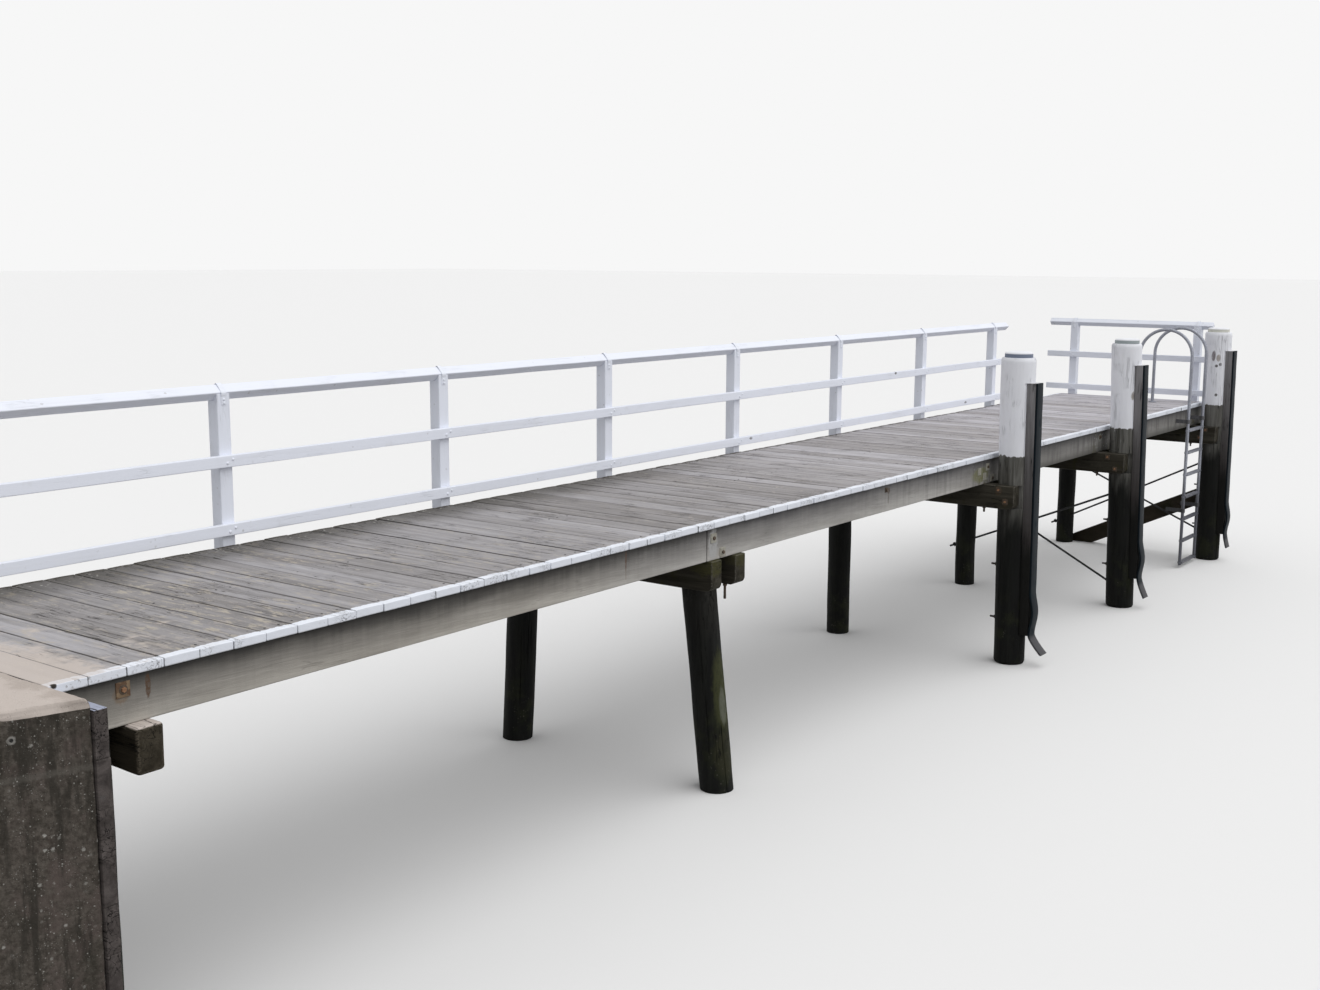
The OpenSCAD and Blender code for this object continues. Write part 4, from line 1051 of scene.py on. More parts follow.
print("materials: making")
deckMaterial = deckTimber(deckLook)
girderMaterial = girderTimber(girderLook)
headstockMaterial = darkTimber("headstockTimber", (1, 0.05, 1), headstockLook)
sillMaterial = darkTimber("sillTimber", (1, 0.05, 1), sillLook)
boardMaterial = darkTimber("facingBoard", (1, 0.05, 1), boardLook)
braceMaterial = darkTimber("braceTimber", (1, 0.06, 0.1), braceLook)
paintedPile = pileTimber("mooringPile", True, pileLook)
barePile = pileTimber("barePile", False, pileLook)
paintAlongX = whitePaint("paintAlongX", (0.04, 1, 1), 0.05, paintLook)
paintAlongY = whitePaint("paintAlongY", (1, 0.04, 1), 0.05, paintLook)
paintUpright = whitePaint("paintUpright", (1, 1, 0.04), 0.06, paintLook)
concreteMaterial = concrete(concreteLook)
galvanised = steel("galvanisedSteel", galvanisedLook)
bracketSteel = steel("ladderBracket", bracketLook)
rodSteel = steel("rustedRod", rodLook)
boltSteel = steel("rustyBolt", boltLook)
strapSteel = steel("paintedStrap", strapLook)
plateSteel = steel("palePlate", plateLook)
tanSteel = steel("tanPlate", tanLook)
orangeSteel = steel("orangeHead", orangeLook)
capMaterial = capMetal(capLook)
fenderMaterial = fenderWood(fenderLook)
rubberMaterial = fenderRubber(rubberLook)


# Deck planks

planks = {
    "radius": 0.005,  # rounding of the arrises
    "endScatter": 0.007,  # most that an end lies back from the line
    "sideScatter": 0.0034, "closed": 0.0016,
    "tightReach": 3.0,  # the joints widen to their full scatter over this length from the shore
    "topScatter": 0.0035, "twist": 0.002, "cup": 0.0022, "ripple": 0.0008,
}


def makePlanks():
    # sides and ends moved by random amounts that fade across a plank; the top is lowered by a
    # random drop, a cup (square of the way from the middle line), a twist and a ripple
    for group in range(4):
        node = "deck_planks_%d" % (group + 1)
        low, high = extent(node)
        count = round((high[0] - low[0] + plankGap) / plankPitch)
        random = np.random.default_rng(40 + group)
        lows = np.tile(low, (count, 1))
        lows[:, 0] += np.arange(count) * plankPitch
        size = np.array([plankPitch - plankGap, high[1] - low[1], high[2] - low[2]])
        ends = random.uniform(0, planks["endScatter"], (count, 2))
        # some joints stand open and others are nearly closed
        sides = random.uniform(0, planks["sideScatter"], (count, 2)) * random.integers(0, 2, (count, 2))
        shut = -planks["closed"] * random.uniform(0.3, 1, (count, 2))
        sides = np.where(sides == 0, shut, sides)
        looseness = np.clip((lows[:, :1] - shoreX) / planks["tightReach"], 0, 1)
        sides = (sides + planks["closed"]) * looseness - planks["closed"]
        drop = random.uniform(0, planks["topScatter"], (count, 1))
        twist = random.uniform(-planks["twist"], planks["twist"], (count, 1))

        def shape(points, number):
            share = (points - lows[:, None]) / size  # 0 to 1 along each edge
            x = points[..., 0] + sides[:, :1] * (1 - share[..., 0]) - sides[:, 1:] * share[..., 0]
            x = x + waves(points, 7 + group, 0.9) * planks["ripple"]
            y = points[..., 1] + ends[:, :1] * (1 - share[..., 1]) - ends[:, 1:] * share[..., 1]
            lower = drop + planks["cup"] * (2 * share[..., 0] - 1) ** 2
            lower = lower + np.abs(twist * (share[..., 1] - 0.5))
            lower = lower + planks["ripple"] * (1 + waves(points, 11 + group, 0.35))
            return np.stack([x, y, points[..., 2] - lower * share[..., 2]], -1)

        made = blocks(lows, size, planks["radius"], (0.035, 0.1, 0.02), 60 + group, shape)
        addPiece("deckPlanks%d" % (group + 1), [made], deckMaterial, node)


# Girders with halved laps

girders = {"radius": 0.007, "wander": 0.0018, "lapGap": 0.014, "lapSlack": 0.0005, "shoulder": 0.0006}


def snap(x, edge):
    # moves the two grid lines nearest to an edge onto its two sides, one shoulder step apart
    flat = np.unique(np.round(x, 6))
    below = flat[flat <= edge].max()
    above = flat[flat > edge].min()
    x = np.where(np.isclose(x, below, atol=1e-5), edge - girders["shoulder"], x)
    return np.where(np.isclose(x, above, atol=1e-5), edge + girders["shoulder"], x)


def girder(spans, part, y, seed):
    # one length of a girder: past each lap's shoulder its width is scaled to half, and waves
    # move it sideways by the wander and up or down by half of that
    width = spans[0][1][1] - spans[0][0][1]
    half = (width - girders["lapSlack"]) / 2
    low, high = spans[part][0].copy(), spans[part][1].copy()
    low[1], high[1] = y, y + width

    def shape(points, number):
        x, across = points[..., 0], points[..., 1]
        share = (across - low[1]) / width
        if part > 0:
            lapStart = spans[part - 1][1][0] + girders["lapGap"]
            x = np.where(x < lapStart + 0.2, snap(x, lapStart), x)
            across = np.where(x < lapStart, low[1] + share * half, across)
        if part < 2:
            lapEnd = spans[part + 1][0][0] - girders["lapGap"]
            x = np.where(x > lapEnd - 0.2, snap(x, lapEnd), x)
            across = np.where(x > lapEnd, high[1] - (1 - share) * half, across)
        moved = np.stack([x, across, points[..., 2]], -1)
        moved[..., 1] += waves(points * (1, 3, 3), seed, 1.3) * girders["wander"]
        moved[..., 2] += waves(points, seed + 1, 1.6) * girders["wander"] * 0.5
        return moved

    made = blocks([low], high - low, girders["radius"], (0.05, 0.05, 0.04), seed, shape)
    made[0] = np.clip(made[0], low, high)
    return made


def makeGirders():
    # three lines of girders, each in three lengths that lap over the bents
    names = ("shore", "middle", "river")
    spans = [extent("near_girder_" + name) for name in names]
    for row, node in enumerate(("near_girder_shore", "middle_girders", "far_girders")):
        y = extent(node)[0][1]
        parts = [girder(spans, part, y, 80 + 7 * row + part) for part in range(3)]
        if row == 0:
            for part, name in zip(parts, names):
                addPiece("nearGirder_" + name, [part], girderMaterial, "near_girder_" + name)
        else:
            addPiece(node.replace("_g", "G"), parts, girderMaterial, node)


# Headstocks, sill, facing boards and brace

heavyTimber = {"radius": 0.01, "bevel": 0.035, "thickness": 0.13, "wander": 0.0025,
               "sillRadius": 0.02, "sillWear": 0.003, "boards": 9, "boardRadius": 0.006,
               "boardWear": 0.002, "braceDepth": 0.21, "braceSlope": 0.4804, "braceRadius": 0.006}


def makeHeadstocks():
    # two beams to a bent; the lower corner of each end is pushed in along the diagonal to a
    # bevel, and waves move the faces by the wander
    bevel, wander = heavyTimber["bevel"], heavyTimber["wander"]
    for index, bent in enumerate(bentNames):
        low, high = extent(bent + "_headstocks")
        size = np.array([heavyTimber["thickness"], high[1] - low[1], high[2] - low[2]])
        lows = [low, [high[0] - heavyTimber["thickness"], low[1], low[2]]]

        def shape(points, number):
            x, y, z = points[..., 0], points[..., 1], points[..., 2]
            for end, inward in ((low[1], 1), (high[1], -1)):
                push = np.maximum(0, bevel - (y - end) * inward - (z - low[2])) / 2
                y, z = y + push * inward, z + push
            moved = np.stack([x, y, z], -1)
            moved[..., 0] += waves(points, 20 + index, 0.8) * wander
            moved[..., 2] -= np.abs(waves(points, 30 + index, 0.6)) * wander * 0.6
            return moved

        made = blocks(lows, size, heavyTimber["radius"], (0.03, 0.035, 0.03), 90 + index, shape)
        addPiece(bent.replace("_", "") + "Headstocks", [made], headstockMaterial,
                 bent + "_headstocks")


def makeShoreTimbers():
    # the sill, moved by waves of its wear, and facing boards stacked on edge, each set back by
    # waves and by the sine of its number
    low, high = extent("sill_beam")
    made = blocks([low], high - low, heavyTimber["sillRadius"], (0.03, 0.04, 0.04), 12)
    made[0] += (waves(made[0], 5, 0.35)[:, None] * heavyTimber["sillWear"]) * (1, 0.3, 1)
    addPiece("sillBeam", [made], sillMaterial, "sill_beam")

    low, high = extent("abutment_board")
    count, wear = heavyTimber["boards"], heavyTimber["boardWear"]
    tall = (high[2] - low[2]) / count
    lows = np.tile(low, (count, 1))
    lows[:, 2] += np.arange(count) * tall

    def shape(points, number):
        moved = points.copy()
        moved[..., 0] += waves(points, 5, 0.5) * wear - wear + wear * np.sin(number * 2.1)
        moved[..., 1] += waves(points * (1, 0, 3), 6, 0.3) * 0.003 * np.sign(points[..., 1] - farY / 2)
        return moved

    made = blocks(lows, (high[0] - low[0], high[1] - low[1], tall), heavyTimber["boardRadius"],
                  (0.024, 0.04, 0.028), 13, shape)
    addPiece("facingBoards", [made], boardMaterial, "abutment_board")


def makeBrace():
    # a sloping plank: along the grid's Y it falls by the slope, and its foot is cut level
    low, high = extent("bent_4_brace")
    slope = heavyTimber["braceSlope"]
    upright = heavyTimber["braceDepth"] / math.cos(math.atan(slope))
    size = np.array([high[0] - low[0], high[1] - low[1], upright])

    def shape(points, number):
        along = (points[..., 1] - low[1]) / size[1]
        top = high[2] - upright * (1 - (points[..., 2] - low[2]) / size[2])
        end = np.minimum(high[1] - low[1], top / slope)
        return np.stack([points[..., 0], low[1] + along * end, top - slope * along * end], -1)

    made = blocks([low], size, heavyTimber["braceRadius"], (0.03, 0.05, 0.03), 15, shape)
    addPiece("braceTimber", [made], braceMaterial, "bent_4_brace")


# Piles

piles = {"sides": 168, "rowSpacing": 0.022, "knobble": 0.006, "ripple": 0.0015,
         "checkDepth": 0.009, "checkWidth": 0.026, "tenonHalf": 0.09,
         "lean": {"bent_1_near_pile": math.radians(6.6), "bent_1_far_pile": math.radians(3.5)}}


def pileSurface(footCentre, topCentre, footRadius, topRadius, seed, housing=None,
                flat=None, seat=None, squash=1.0, rounding=0.012, checks=9):
    # loops up the pile: the radius tapers, swells by waves and dips in long drying checks, whose
    # depth fades as a bell curve around the pile and as a parabola along it
    height = topCentre[2] - footCentre[2]
    rows = np.linspace(0, 1, round(height / piles["rowSpacing"]) + 1)
    for level in (housing or ())[:2] + (seat or ())[:2]:
        share = (level - footCentre[2]) / height
        rows = np.concatenate([rows[np.abs(rows - share) > 0.003], [share - 2e-4, share + 2e-4]])
    rows = np.sort(np.clip(rows, 0, 1))
    turn = np.arange(piles["sides"]) * 2 * np.pi / piles["sides"]
    t, a = np.meshgrid(rows, turn, indexing="ij")
    radius = footRadius + (topRadius - footRadius) * t
    where = np.stack([np.cos(a) * 0.16, np.sin(a) * 0.16, t * height * 0.45], -1)
    radius -= piles["knobble"] * (0.5 + 0.5 * waves(where, seed, 0.35))
    radius -= piles["ripple"] * (0.5 + 0.5 * waves(where * (1, 1, 0.5), seed + 1, 0.06))
    random = np.random.default_rng(seed + 2)
    for _ in range(checks):
        middle, reach = random.uniform(0, 1), random.uniform(0.08, 0.28)
        angle = random.uniform(0, 2 * np.pi) + random.normal(0, 0.05) * (t - middle) / reach
        away = np.angle(np.exp(1j * (a - angle)))
        long = np.clip(1 - ((t - middle) / reach) ** 2, 0, 1)
        long *= np.clip((deckTop - 0.05 - footCentre[2] - t * height) / 0.25, 0.12, 1)
        radius -= piles["checkDepth"] * long * np.exp(-(away / piles["checkWidth"]) ** 2)
    rim = np.minimum(np.minimum(t, 1 - t) * height, rounding)
    radius -= rounding - np.sqrt(np.maximum(rounding ** 2 - (rounding - rim) ** 2, 0))
    centre = np.array(footCentre) + t[..., None] * (np.array(topCentre) - np.array(footCentre))
    x, y, z = radius * np.cos(a), radius * np.sin(a) * squash, centre[..., 2]
    if housing:
        inside = (z > housing[0]) & (z < housing[1])
        x = np.where(inside, np.clip(x, -housing[2], housing[2]), x)
    if flat:
        x = np.where(z > flat[0], np.minimum(x, flat[1]), x)
    if seat:
        y = np.where((z > seat[0]) & (z < seat[1]), np.maximum(y, -seat[2]), y)
    points = np.stack([centre[..., 0] + x, centre[..., 1] + y, z], -1)
    return rings(points, random.uniform(0, 1))


def tallPileSurface(x, index, seed):
    # raked pile from the feet to its rise above the deck, housed for the headstocks and cut flat
    # from the fender's foot to its top
    top = deckTop + tallPile["rise"] * math.cos(math.radians(tallPile["rake"][index]))
    return pileSurface((x, tallAxis(index, 0)[0], 0), (x, tallAxis(index, top)[0], top),
                       tallPile["footRadius"], tallPile["topRadius"], seed,
                       (headstockBottom, girderBottom, piles["tenonHalf"]),
                       seat=(fenders["foot"][index], deckTop + fenders["topAbove"], tallPile["seat"]),
                       checks=7)


def lowPileSurface(node, side, seed):
    # pile under the headstocks; one that leans has its centre a radius over the cosine of the
    # lean inside each end of its box
    low, high = extent(node)
    x, radius = (low[0] + high[0]) / 2, (high[0] - low[0]) / 2
    lean = piles["lean"].get(node, 0.0)
    wide = radius / math.cos(lean)
    ends = (low[1] + wide, high[1] - wide)
    footY, topY = ends if side == "near" else ends[::-1]
    return pileSurface((x, footY, low[2]), (x, topY, high[2]), radius, radius, seed,
                       (headstockBottom, high[2] + 0.1, piles["tenonHalf"]),
                       squash=1 / math.cos(lean), rounding=0.0001)


def makePiles():
    # two piles to a bent, the painted ones standing above the deck, and two short ones that are
    # cut flat against the sill
    for index, bent in enumerate(bentNames):
        for side in ("near", "far"):
            node = "%s_%s_pile" % (bent, side)
            low, high = extent(node)
            seed = 200 + 10 * index + (side == "far")
            tall = high[2] > deckTop
            if tall:
                made = tallPileSurface((low[0] + high[0]) / 2, index - 1, seed)
            else:
                made = lowPileSurface(node, side, seed)
            addPiece(bent.replace("_", "") + side.capitalize() + "Pile", [made],
                     paintedPile if tall else barePile, node)
    low, high = extent("sill_piles")
    sillLow = extent("sill_beam")[0]
    x, radius = (low[0] + high[0]) / 2, (high[0] - low[0]) / 2
    parts = []
    for number, y in enumerate((low[1] + radius, high[1] - radius)):
        parts.append(pileSurface((x, y, low[2]), (x, y, high[2]), radius, radius, 300 + number,
                                 (sillLow[2], high[2] + 0.1, 1.0),
                                 flat=(sillLow[2], sillLow[0] - x), rounding=0.0001))
    addPiece("sillPiles", parts, barePile, "sill_piles")


# Pile caps

caps = {"radius": 0.134, "thick": 0.06, "rounding": 0.02, "dome": 0.006, "dents": 0.0025}


def makeCaps():
    # turned plate: upright side, a quarter circle for the rim, and a top that falls from its
    # dome by the square of the radius and is dented by waves
    radius, rounding = caps["radius"], caps["rounding"]
    edgeTop = caps["thick"] - caps["dome"]
    c, s = around(72)
    arc = np.linspace(0, np.pi / 2, 7)
    inner = np.linspace(radius - rounding, 0.015, 8)[1:]
    r = np.concatenate([[radius * 0.99, radius], radius - rounding * (1 - np.cos(arc)), inner])
    z = np.concatenate([[0, 0.003], edgeTop - rounding * (1 - np.sin(arc)),
                        edgeTop + caps["dome"] * (1 - (inner / radius) ** 2)])
    parts = []
    for index, x in enumerate(bentX[1:]):
        loops = np.stack([r[:, None] * c, r[:, None] * s, z[:, None] + 0 * c], -1)
        loops[..., 2] -= np.abs(waves(loops, 31 + index, 0.12)) * caps["dents"] * (loops[..., 2] > 0.03)
        base = [x, tallAxisY, deckTop + tallPile["rise"]]
        parts.append(rings(raked(loops + base, index), 0.3 * index))
    addPiece("pileCaps", parts, capMaterial, "pile_caps")


# Fenders

fenders = {"width": 0.14, "deep": 0.09, "radius": 0.006, "topAbove": 0.7,
           "foot": (0.3, 0.345, 0.355), "rubberWidth": 0.136, "rubberThick": 0.02,
           "bowHigh": 0.45, "bowOut": 0.03, "curl": 1.3, "sway": 0.003, "ripple": 0.0015,
           "rubberRadius": 0.004, "bend": 0.002,
           "tailDrop": (0.18, 0.22, 0.18), "tailReach": (0.135, 0.08, 0.04)}


def fenderBelt(x, face, top, index):
    # the belt lies on the timber, bows off it near the foot by a squared sine, then hangs as a
    # curled tail that moves out by a power of its share of the drop
    foot, low = fenders["foot"][index], fenders["foot"][index] + fenders["bowHigh"]
    t = np.linspace(0, 1, 41)
    straight = np.linspace(top - 0.001, low, 60)[:-1]
    tail = np.linspace(0, 1, 15)[1:]
    z = np.concatenate([straight, foot + fenders["bowHigh"] * (1 - t),
                        foot - fenders["tailDrop"][index] * tail])
    out = np.concatenate([fenders["ripple"] * np.sin(straight * 9 + index) ** 2,
                          fenders["bowOut"] * np.sin(np.pi * t) ** 2,
                          fenders["tailReach"][index] * tail ** fenders["curl"]])
    path = np.stack([x + fenders["sway"] * np.sin(z * 2.2 + index * 2),
                     face - fenders["rubberThick"] / 2 - out, z], 1)
    outline = roundedOutline(fenders["rubberThick"], fenders["rubberWidth"], fenders["rubberRadius"])
    part = sweep(outline, path, (1, 0, 0), 0.2 + 0.3 * index)
    part[0] = raked(part[0], index)
    return part


def makeFenders():
    # timbers against the flats of the tall piles, bent by waves, and a belt down each
    face = tallAxisY - tallPile["seat"] - fenders["deep"]
    top = deckTop + fenders["topAbove"]
    timbers, rubbers = [], []
    for index, x in enumerate(bentX[1:]):
        foot = fenders["foot"][index]

        def shape(points, number):
            bent = waves(points * (1, 1, 0.6), 51 + index, 0.9) * fenders["bend"]
            return raked(points + np.stack([bent, 0 * bent, 0 * bent], -1), index)

        timbers.append(blocks([[x - fenders["width"] / 2, face, foot]],
                              (fenders["width"], fenders["deep"], top - foot),
                              fenders["radius"], (0.02, 0.02, 0.05), 52 + index, shape))
        rubbers.append(fenderBelt(x, face, top, index))
    addPiece("fenderTimbers", timbers, fenderMaterial, "fender_timbers")
    addPiece("fenderRubbers", rubbers, rubberMaterial, "fender_rubbers")


# Railing

railing = {"radius": 0.006, "postRadius": 0.007, "wander": 0.0022, "topSide": 0.075,
           "topRadius": 0.007, "strapWidth": 0.04, "strapThick": 0.004, "strapLeg": 0.08,
           "post": 0.1, "postPitch": 2.0, "postWander": 0.001, "vSlack": 0.004}


def railPostPlaces():
    # post middles: evenly pitched along the side, and one at each corner of the end
    half = railing["post"] / 2
    low, high = extent("side_posts")
    count = round((high[0] - low[0] - railing["post"]) / railing["postPitch"]) + 1
    side = [(low[0] + half + i * railing["postPitch"], (low[1] + high[1]) / 2) for i in range(count)]
    low, high = extent("end_posts")
    end = [((low[0] + high[0]) / 2, y) for y in (low[1] + half, high[1] - half)]
    return side, end


def diamondRail(low, high, axis, seed):
    # square bar on its edge: a straight block whose section is turned by an eighth, then moved
    # by waves of the wander
    middle = (low + high) / 2
    size = np.full(3, railing["topSide"])
    size[axis] = (high - low)[axis]
    across = 1 - axis

    def shape(points, number):
        a = points[..., across] - middle[across]
        b = points[..., 2] - middle[2]
        moved = points.copy()
        moved[..., across] = middle[across] + (a - b) * math.sqrt(0.5)
        moved[..., 2] = middle[2] + (a + b) * math.sqrt(0.5)
        moved[..., 2] -= np.abs(waves(points, seed, 2.2)) * railing["wander"]
        moved[..., across] += waves(points, seed + 1, 2.6) * railing["wander"] * 0.8
        return moved

    spacing = [0.04, 0.04, 0.04]
    spacing[axis] = 0.11
    return blocks([middle - size / 2], size, railing["topRadius"], spacing, seed, shape)


def flatRail(low, high, axis, seed):
    # straight block moved up and down by waves of the wander, and sideways by half of it
    spacing = [0.03, 0.03, 0.03]
    spacing[axis] = 0.11

    def shape(points, number):
        moved = points.copy()
        moved[..., 2] += waves(points, seed, 2.4) * railing["wander"]
        moved[..., 1 - axis] += waves(points, seed + 1, 2.0) * railing["wander"] * 0.5
        return moved

    return blocks([low], high - low, railing["radius"], spacing, seed, shape)


def posts(places, low, high, axis, seed):
    # the head of each post is cut to a V that holds the diamond rail: over the upper fifth the
    # points sink in step with their nearness to the middle line
    width = railing["post"]
    half = railing["topSide"] / math.sqrt(2)
    across = 1 - axis
    lows = [[x - width / 2, y - width / 2, low[2]] for x, y in places]
    size = np.array([width, width, high[2] - low[2]])

    def shape(points, number):
        middle = np.array(places)[:, None, across]
        away = np.abs(points[..., across] - middle)
        top = high[2] - np.maximum(0, half - away - railing["vSlack"])
        share = (points[..., 2] - low[2]) / size[2]
        moved = points.copy()
        moved[..., 2] -= np.clip((share - 0.8) / 0.2, 0, 1) * (high[2] - top)
        moved[..., 0] += waves(points, seed, 1.1) * railing["postWander"]
        return moved

    return blocks(lows, size, railing["postRadius"], (0.02, 0.02, 0.08), seed, shape)


def strapSurface(x, y, axis, tone):
    # flat bar carried over the rail and down both sides of the post, its bends eased by
    # averaging each point of the path with its neighbours
    railZ = sum(extent("side_top_rail"))[2] / 2
    half = railing["topSide"] / math.sqrt(2)
    side, t, leg = railing["post"] / 2, railing["strapThick"] / 2, railing["strapLeg"]
    knee = max(half, side)
    corners = np.array([[-side - t, -leg], [-side - t, -knee / 2], [-knee - t, -knee / 4],
                        [-knee - t, 0.5 * t], [0, half + 0.012]])
    corners = np.concatenate([corners, (corners * (-1, 1))[-2::-1]])
    steps = np.linspace(0, 1, 9)[:-1, None]
    path = [first + (second - first) * steps for first, second in zip(corners[:-1], corners[1:])]
    path = np.concatenate(path + [corners[-1:]])
    for _ in range(3):
        path[1:-1] = (path[:-2] + 2 * path[1:-1] + path[2:]) / 4
    points = np.zeros((len(path), 3))
    points[:, 1 - axis] = path[:, 0]
    points[:, 2] = path[:, 1]
    outline = roundedOutline(railing["strapThick"], railing["strapWidth"], 0.0012, 2)
    return sweep(outline, points + [x, y, railZ], np.eye(3)[axis], tone)


def makeRailing():
    # three rails and a line of posts along the side, the same across the end, and the straps
    sidePlaces, endPlaces = railPostPlaces()
    for line, axis, material in (("side", 0, paintAlongX), ("end", 1, paintAlongY)):
        for level, maker in (("Top", diamondRail), ("Mid", flatRail), ("Bottom", flatRail)):
            name, node = line + level + "Rail", "%s_%s_rail" % (line, level.lower())
            made = maker(*extent(node), axis, 400 + len(name) + axis)
            addPiece(name, [made], material, node)
    for line, places, axis in (("side", sidePlaces, 0), ("end", endPlaces, 1)):
        made = posts(places, *extent(line + "_posts"), axis, 430 + axis)
        addPiece(line + "Posts", [made], paintUpright, line + "_posts")
    straps = [strapSurface(x, y, 0, 0.1 * i) for i, (x, y) in enumerate(sidePlaces)]
    straps += [strapSurface(x, y, 1, 0.2 + 0.3 * i) for i, (x, y) in enumerate(endPlaces)]
    addPiece("railStraps", straps, strapSteel, "rail_straps", angle=50)
    return sidePlaces, endPlaces


# Ladder

ladder = {"tube": 0.02, "flange": 0.048, "plate": 0.008, "rungs": 7, "lowestRung": 0.071,
          "treadDeep": 0.06, "treadHigh": 0.028, "ribs": 0.0012, "ribPitch": 0.012,
          "treadRadius": 0.004, "bolt": 0.007, "barHigh": 0.05, "eyeHalf": 0.025,
          "footY": 0.545, "stileOut": 0.125,
          "flangeBolts": 0.034}


def ladderHoop(x, low, high, stileY, footY):
    # one tube: up from its flange on the deck, over in a half circle, and down as the stile
    tubeR = ladder["tube"]
    bend, middleY = (footY - stileY) / 2, (footY + stileY) / 2
    bendZ = high[2] - tubeR - bend
    turn = np.linspace(0, np.pi, 49)
    legUp = np.linspace(deckTop + 0.002, bendZ, 12)[:-1]
    legDown = np.linspace(bendZ, low[2] + 0.004, 40)[1:]
    y = np.concatenate([footY + 0 * legUp, middleY + bend * np.cos(turn), stileY + 0 * legDown])
    z = np.concatenate([legUp, bendZ + bend * np.sin(turn), legDown])
    parts = [tube(np.stack([np.full(len(y), x), y, z], 1), tubeR, (1, 0, 0), 28)]
    wide, ring = ladder["flange"], ladder["flangeBolts"]
    flange = [(wide, 0), (wide, 0.006), (wide - 0.002, 0.008), (tubeR + 0.006, 0.008),
              (tubeR + 0.001, 0.014)]
    parts += turned([[x, footY, deckTop]], (0, 0, 1), flange, 40)
    heads = [[x + ring * math.cos(a), footY + ring * math.sin(a), deckTop + 0.0075]
             for a in (0.785, 2.356, 3.927, 5.498)]
    return parts + turned(heads, (0, 0, 1), [(0.007, 0), (0.007, 0.004), (0.0055, 0.0055)], 6)


def ladderTread(hoopX, stileY, rungZ, seed):
    # a block whose ends are hollowed to the stiles (the side of a circle at each point's depth),
    # with ribs pressed along its top by a cosine, and a bolt through each end
    tubeR, bolt = ladder["tube"], ladder["bolt"]
    span, cope = hoopX[1] - hoopX[0], tubeR / 2
    corner = [hoopX[0] + cope, stileY - ladder["treadDeep"] / 2, rungZ - ladder["treadHigh"] / 2]

    def shape(points, number):
        away = points[..., 1] - stileY
        hollow = np.sqrt(np.maximum((tubeR + 0.001) ** 2 - away ** 2, cope ** 2))
        share = (points[..., 0] - corner[0]) / (span - 2 * cope)
        start, end = hoopX[0] + hollow, hoopX[1] - hollow
        ribs = ladder["ribs"] * np.cos(points[..., 1] * 2 * np.pi / ladder["ribPitch"]) - ladder["ribs"]
        top = (points[..., 2] - corner[2]) / ladder["treadHigh"]
        return np.stack([start + share * (end - start), points[..., 1],
                         points[..., 2] + ribs * (top > 0.9)], -1)

    parts = [blocks([corner], (span - 2 * cope, ladder["treadDeep"], ladder["treadHigh"]),
                    ladder["treadRadius"], (0.06, 0.003, 0.01), seed, shape)]
    ends = [[hoopX[0] - tubeR - 0.001, stileY, rungZ], [hoopX[1] + tubeR + 0.001, stileY, rungZ]]
    for profile, sides in (([(0.014, -0.002), (0.014, 0.002), (0.013, 0.0028)], 20),
                           ([(0.0115, 0.002), (0.0115, 0.012), (0.01, 0.0135)], 6),
                           ([(bolt, 0.012), (bolt, 0.024), (bolt - 0.0015, 0.026)], 14)):
        parts += turned(ends, [[-1, 0, 0], [1, 0, 0]], profile, sides)
    return parts


def ladderBracket(x, stileY, level, reach):
    # an eye round the stile, a flat bar back to the timber, and the bolt through it
    tubeR, plate, tall = ladder["tube"], ladder["plate"], ladder["barHigh"]
    eye, half = tubeR + plate, ladder["eyeHalf"]
    profile = [(tubeR + 0.0005, -half), (eye, -half), (eye, half), (tubeR + 0.0005, half)]
    start = stileY + tubeR
    parts = turned([[x, stileY, level]], (0, 0, 1), profile, 36)
    parts.append(blocks([[x - plate / 2, start, level - tall / 2]], (plate, reach - start, tall),
                        0.0018, (0.01, 0.05, 0.02), 9))
    return parts + turned([[x + plate / 2, start + 0.02, level]], (1, 0, 0),
                          [(0.009, 0), (0.009, 0.006), (0.0075, 0.0075)], 6)


def makeLadder():
    # two hoops, treads at an even pitch below the deck, and brackets at the deck edge and foot
    low, high = extent("ladder_hoops")
    hoopX = (low[0] + ladder["flange"], high[0] - ladder["flange"])
    stileY, footY = nearY - ladder["stileOut"], nearY + ladder["footY"]
    hoops, treads, brackets = [], [], []
    for x in hoopX:
        hoops += ladderHoop(x, low, high, stileY, footY)
    addPiece("ladderHoops", hoops, galvanised, "ladder_hoops", held=False)

    pitch = (deckTop - ladder["lowestRung"]) / ladder["rungs"]
    for i in range(1, ladder["rungs"] + 1):
        treads += ladderTread(hoopX, stileY, deckTop - i * pitch, 500 + i)
    addPiece("ladderRungs", treads, galvanised, "ladder_rungs", held=False)

    barLow, barHigh = extent("ladder_brackets")
    girderFace = extent("near_girder_river")[0][1]
    for x in hoopX:
        for level, reach in ((barHigh[2] - ladder["barHigh"] / 2, girderFace),
                             (barLow[2] + ladder["barHigh"] / 2, barHigh[1])):
            brackets += ladderBracket(x, stileY, level, reach)
    addPiece("ladderBrackets", brackets, bracketSteel, "ladder_brackets", held=False)


# Tie rods

rods = {"radius": 0.012, "offset": 0.02, "tail": 0.07, "washer": 0.025, "washerThick": 0.008,
        "nut": 0.018, "nutHigh": 0.016, "sag": 0.004, "before": 0.08, "steps": 30,
        "bent_3": ((1.344, 0.533), (0.215, 1.209)),  # near and far height of each rod
        "bent_4": ((1.35, 0.349), (0.323, 1.19))}


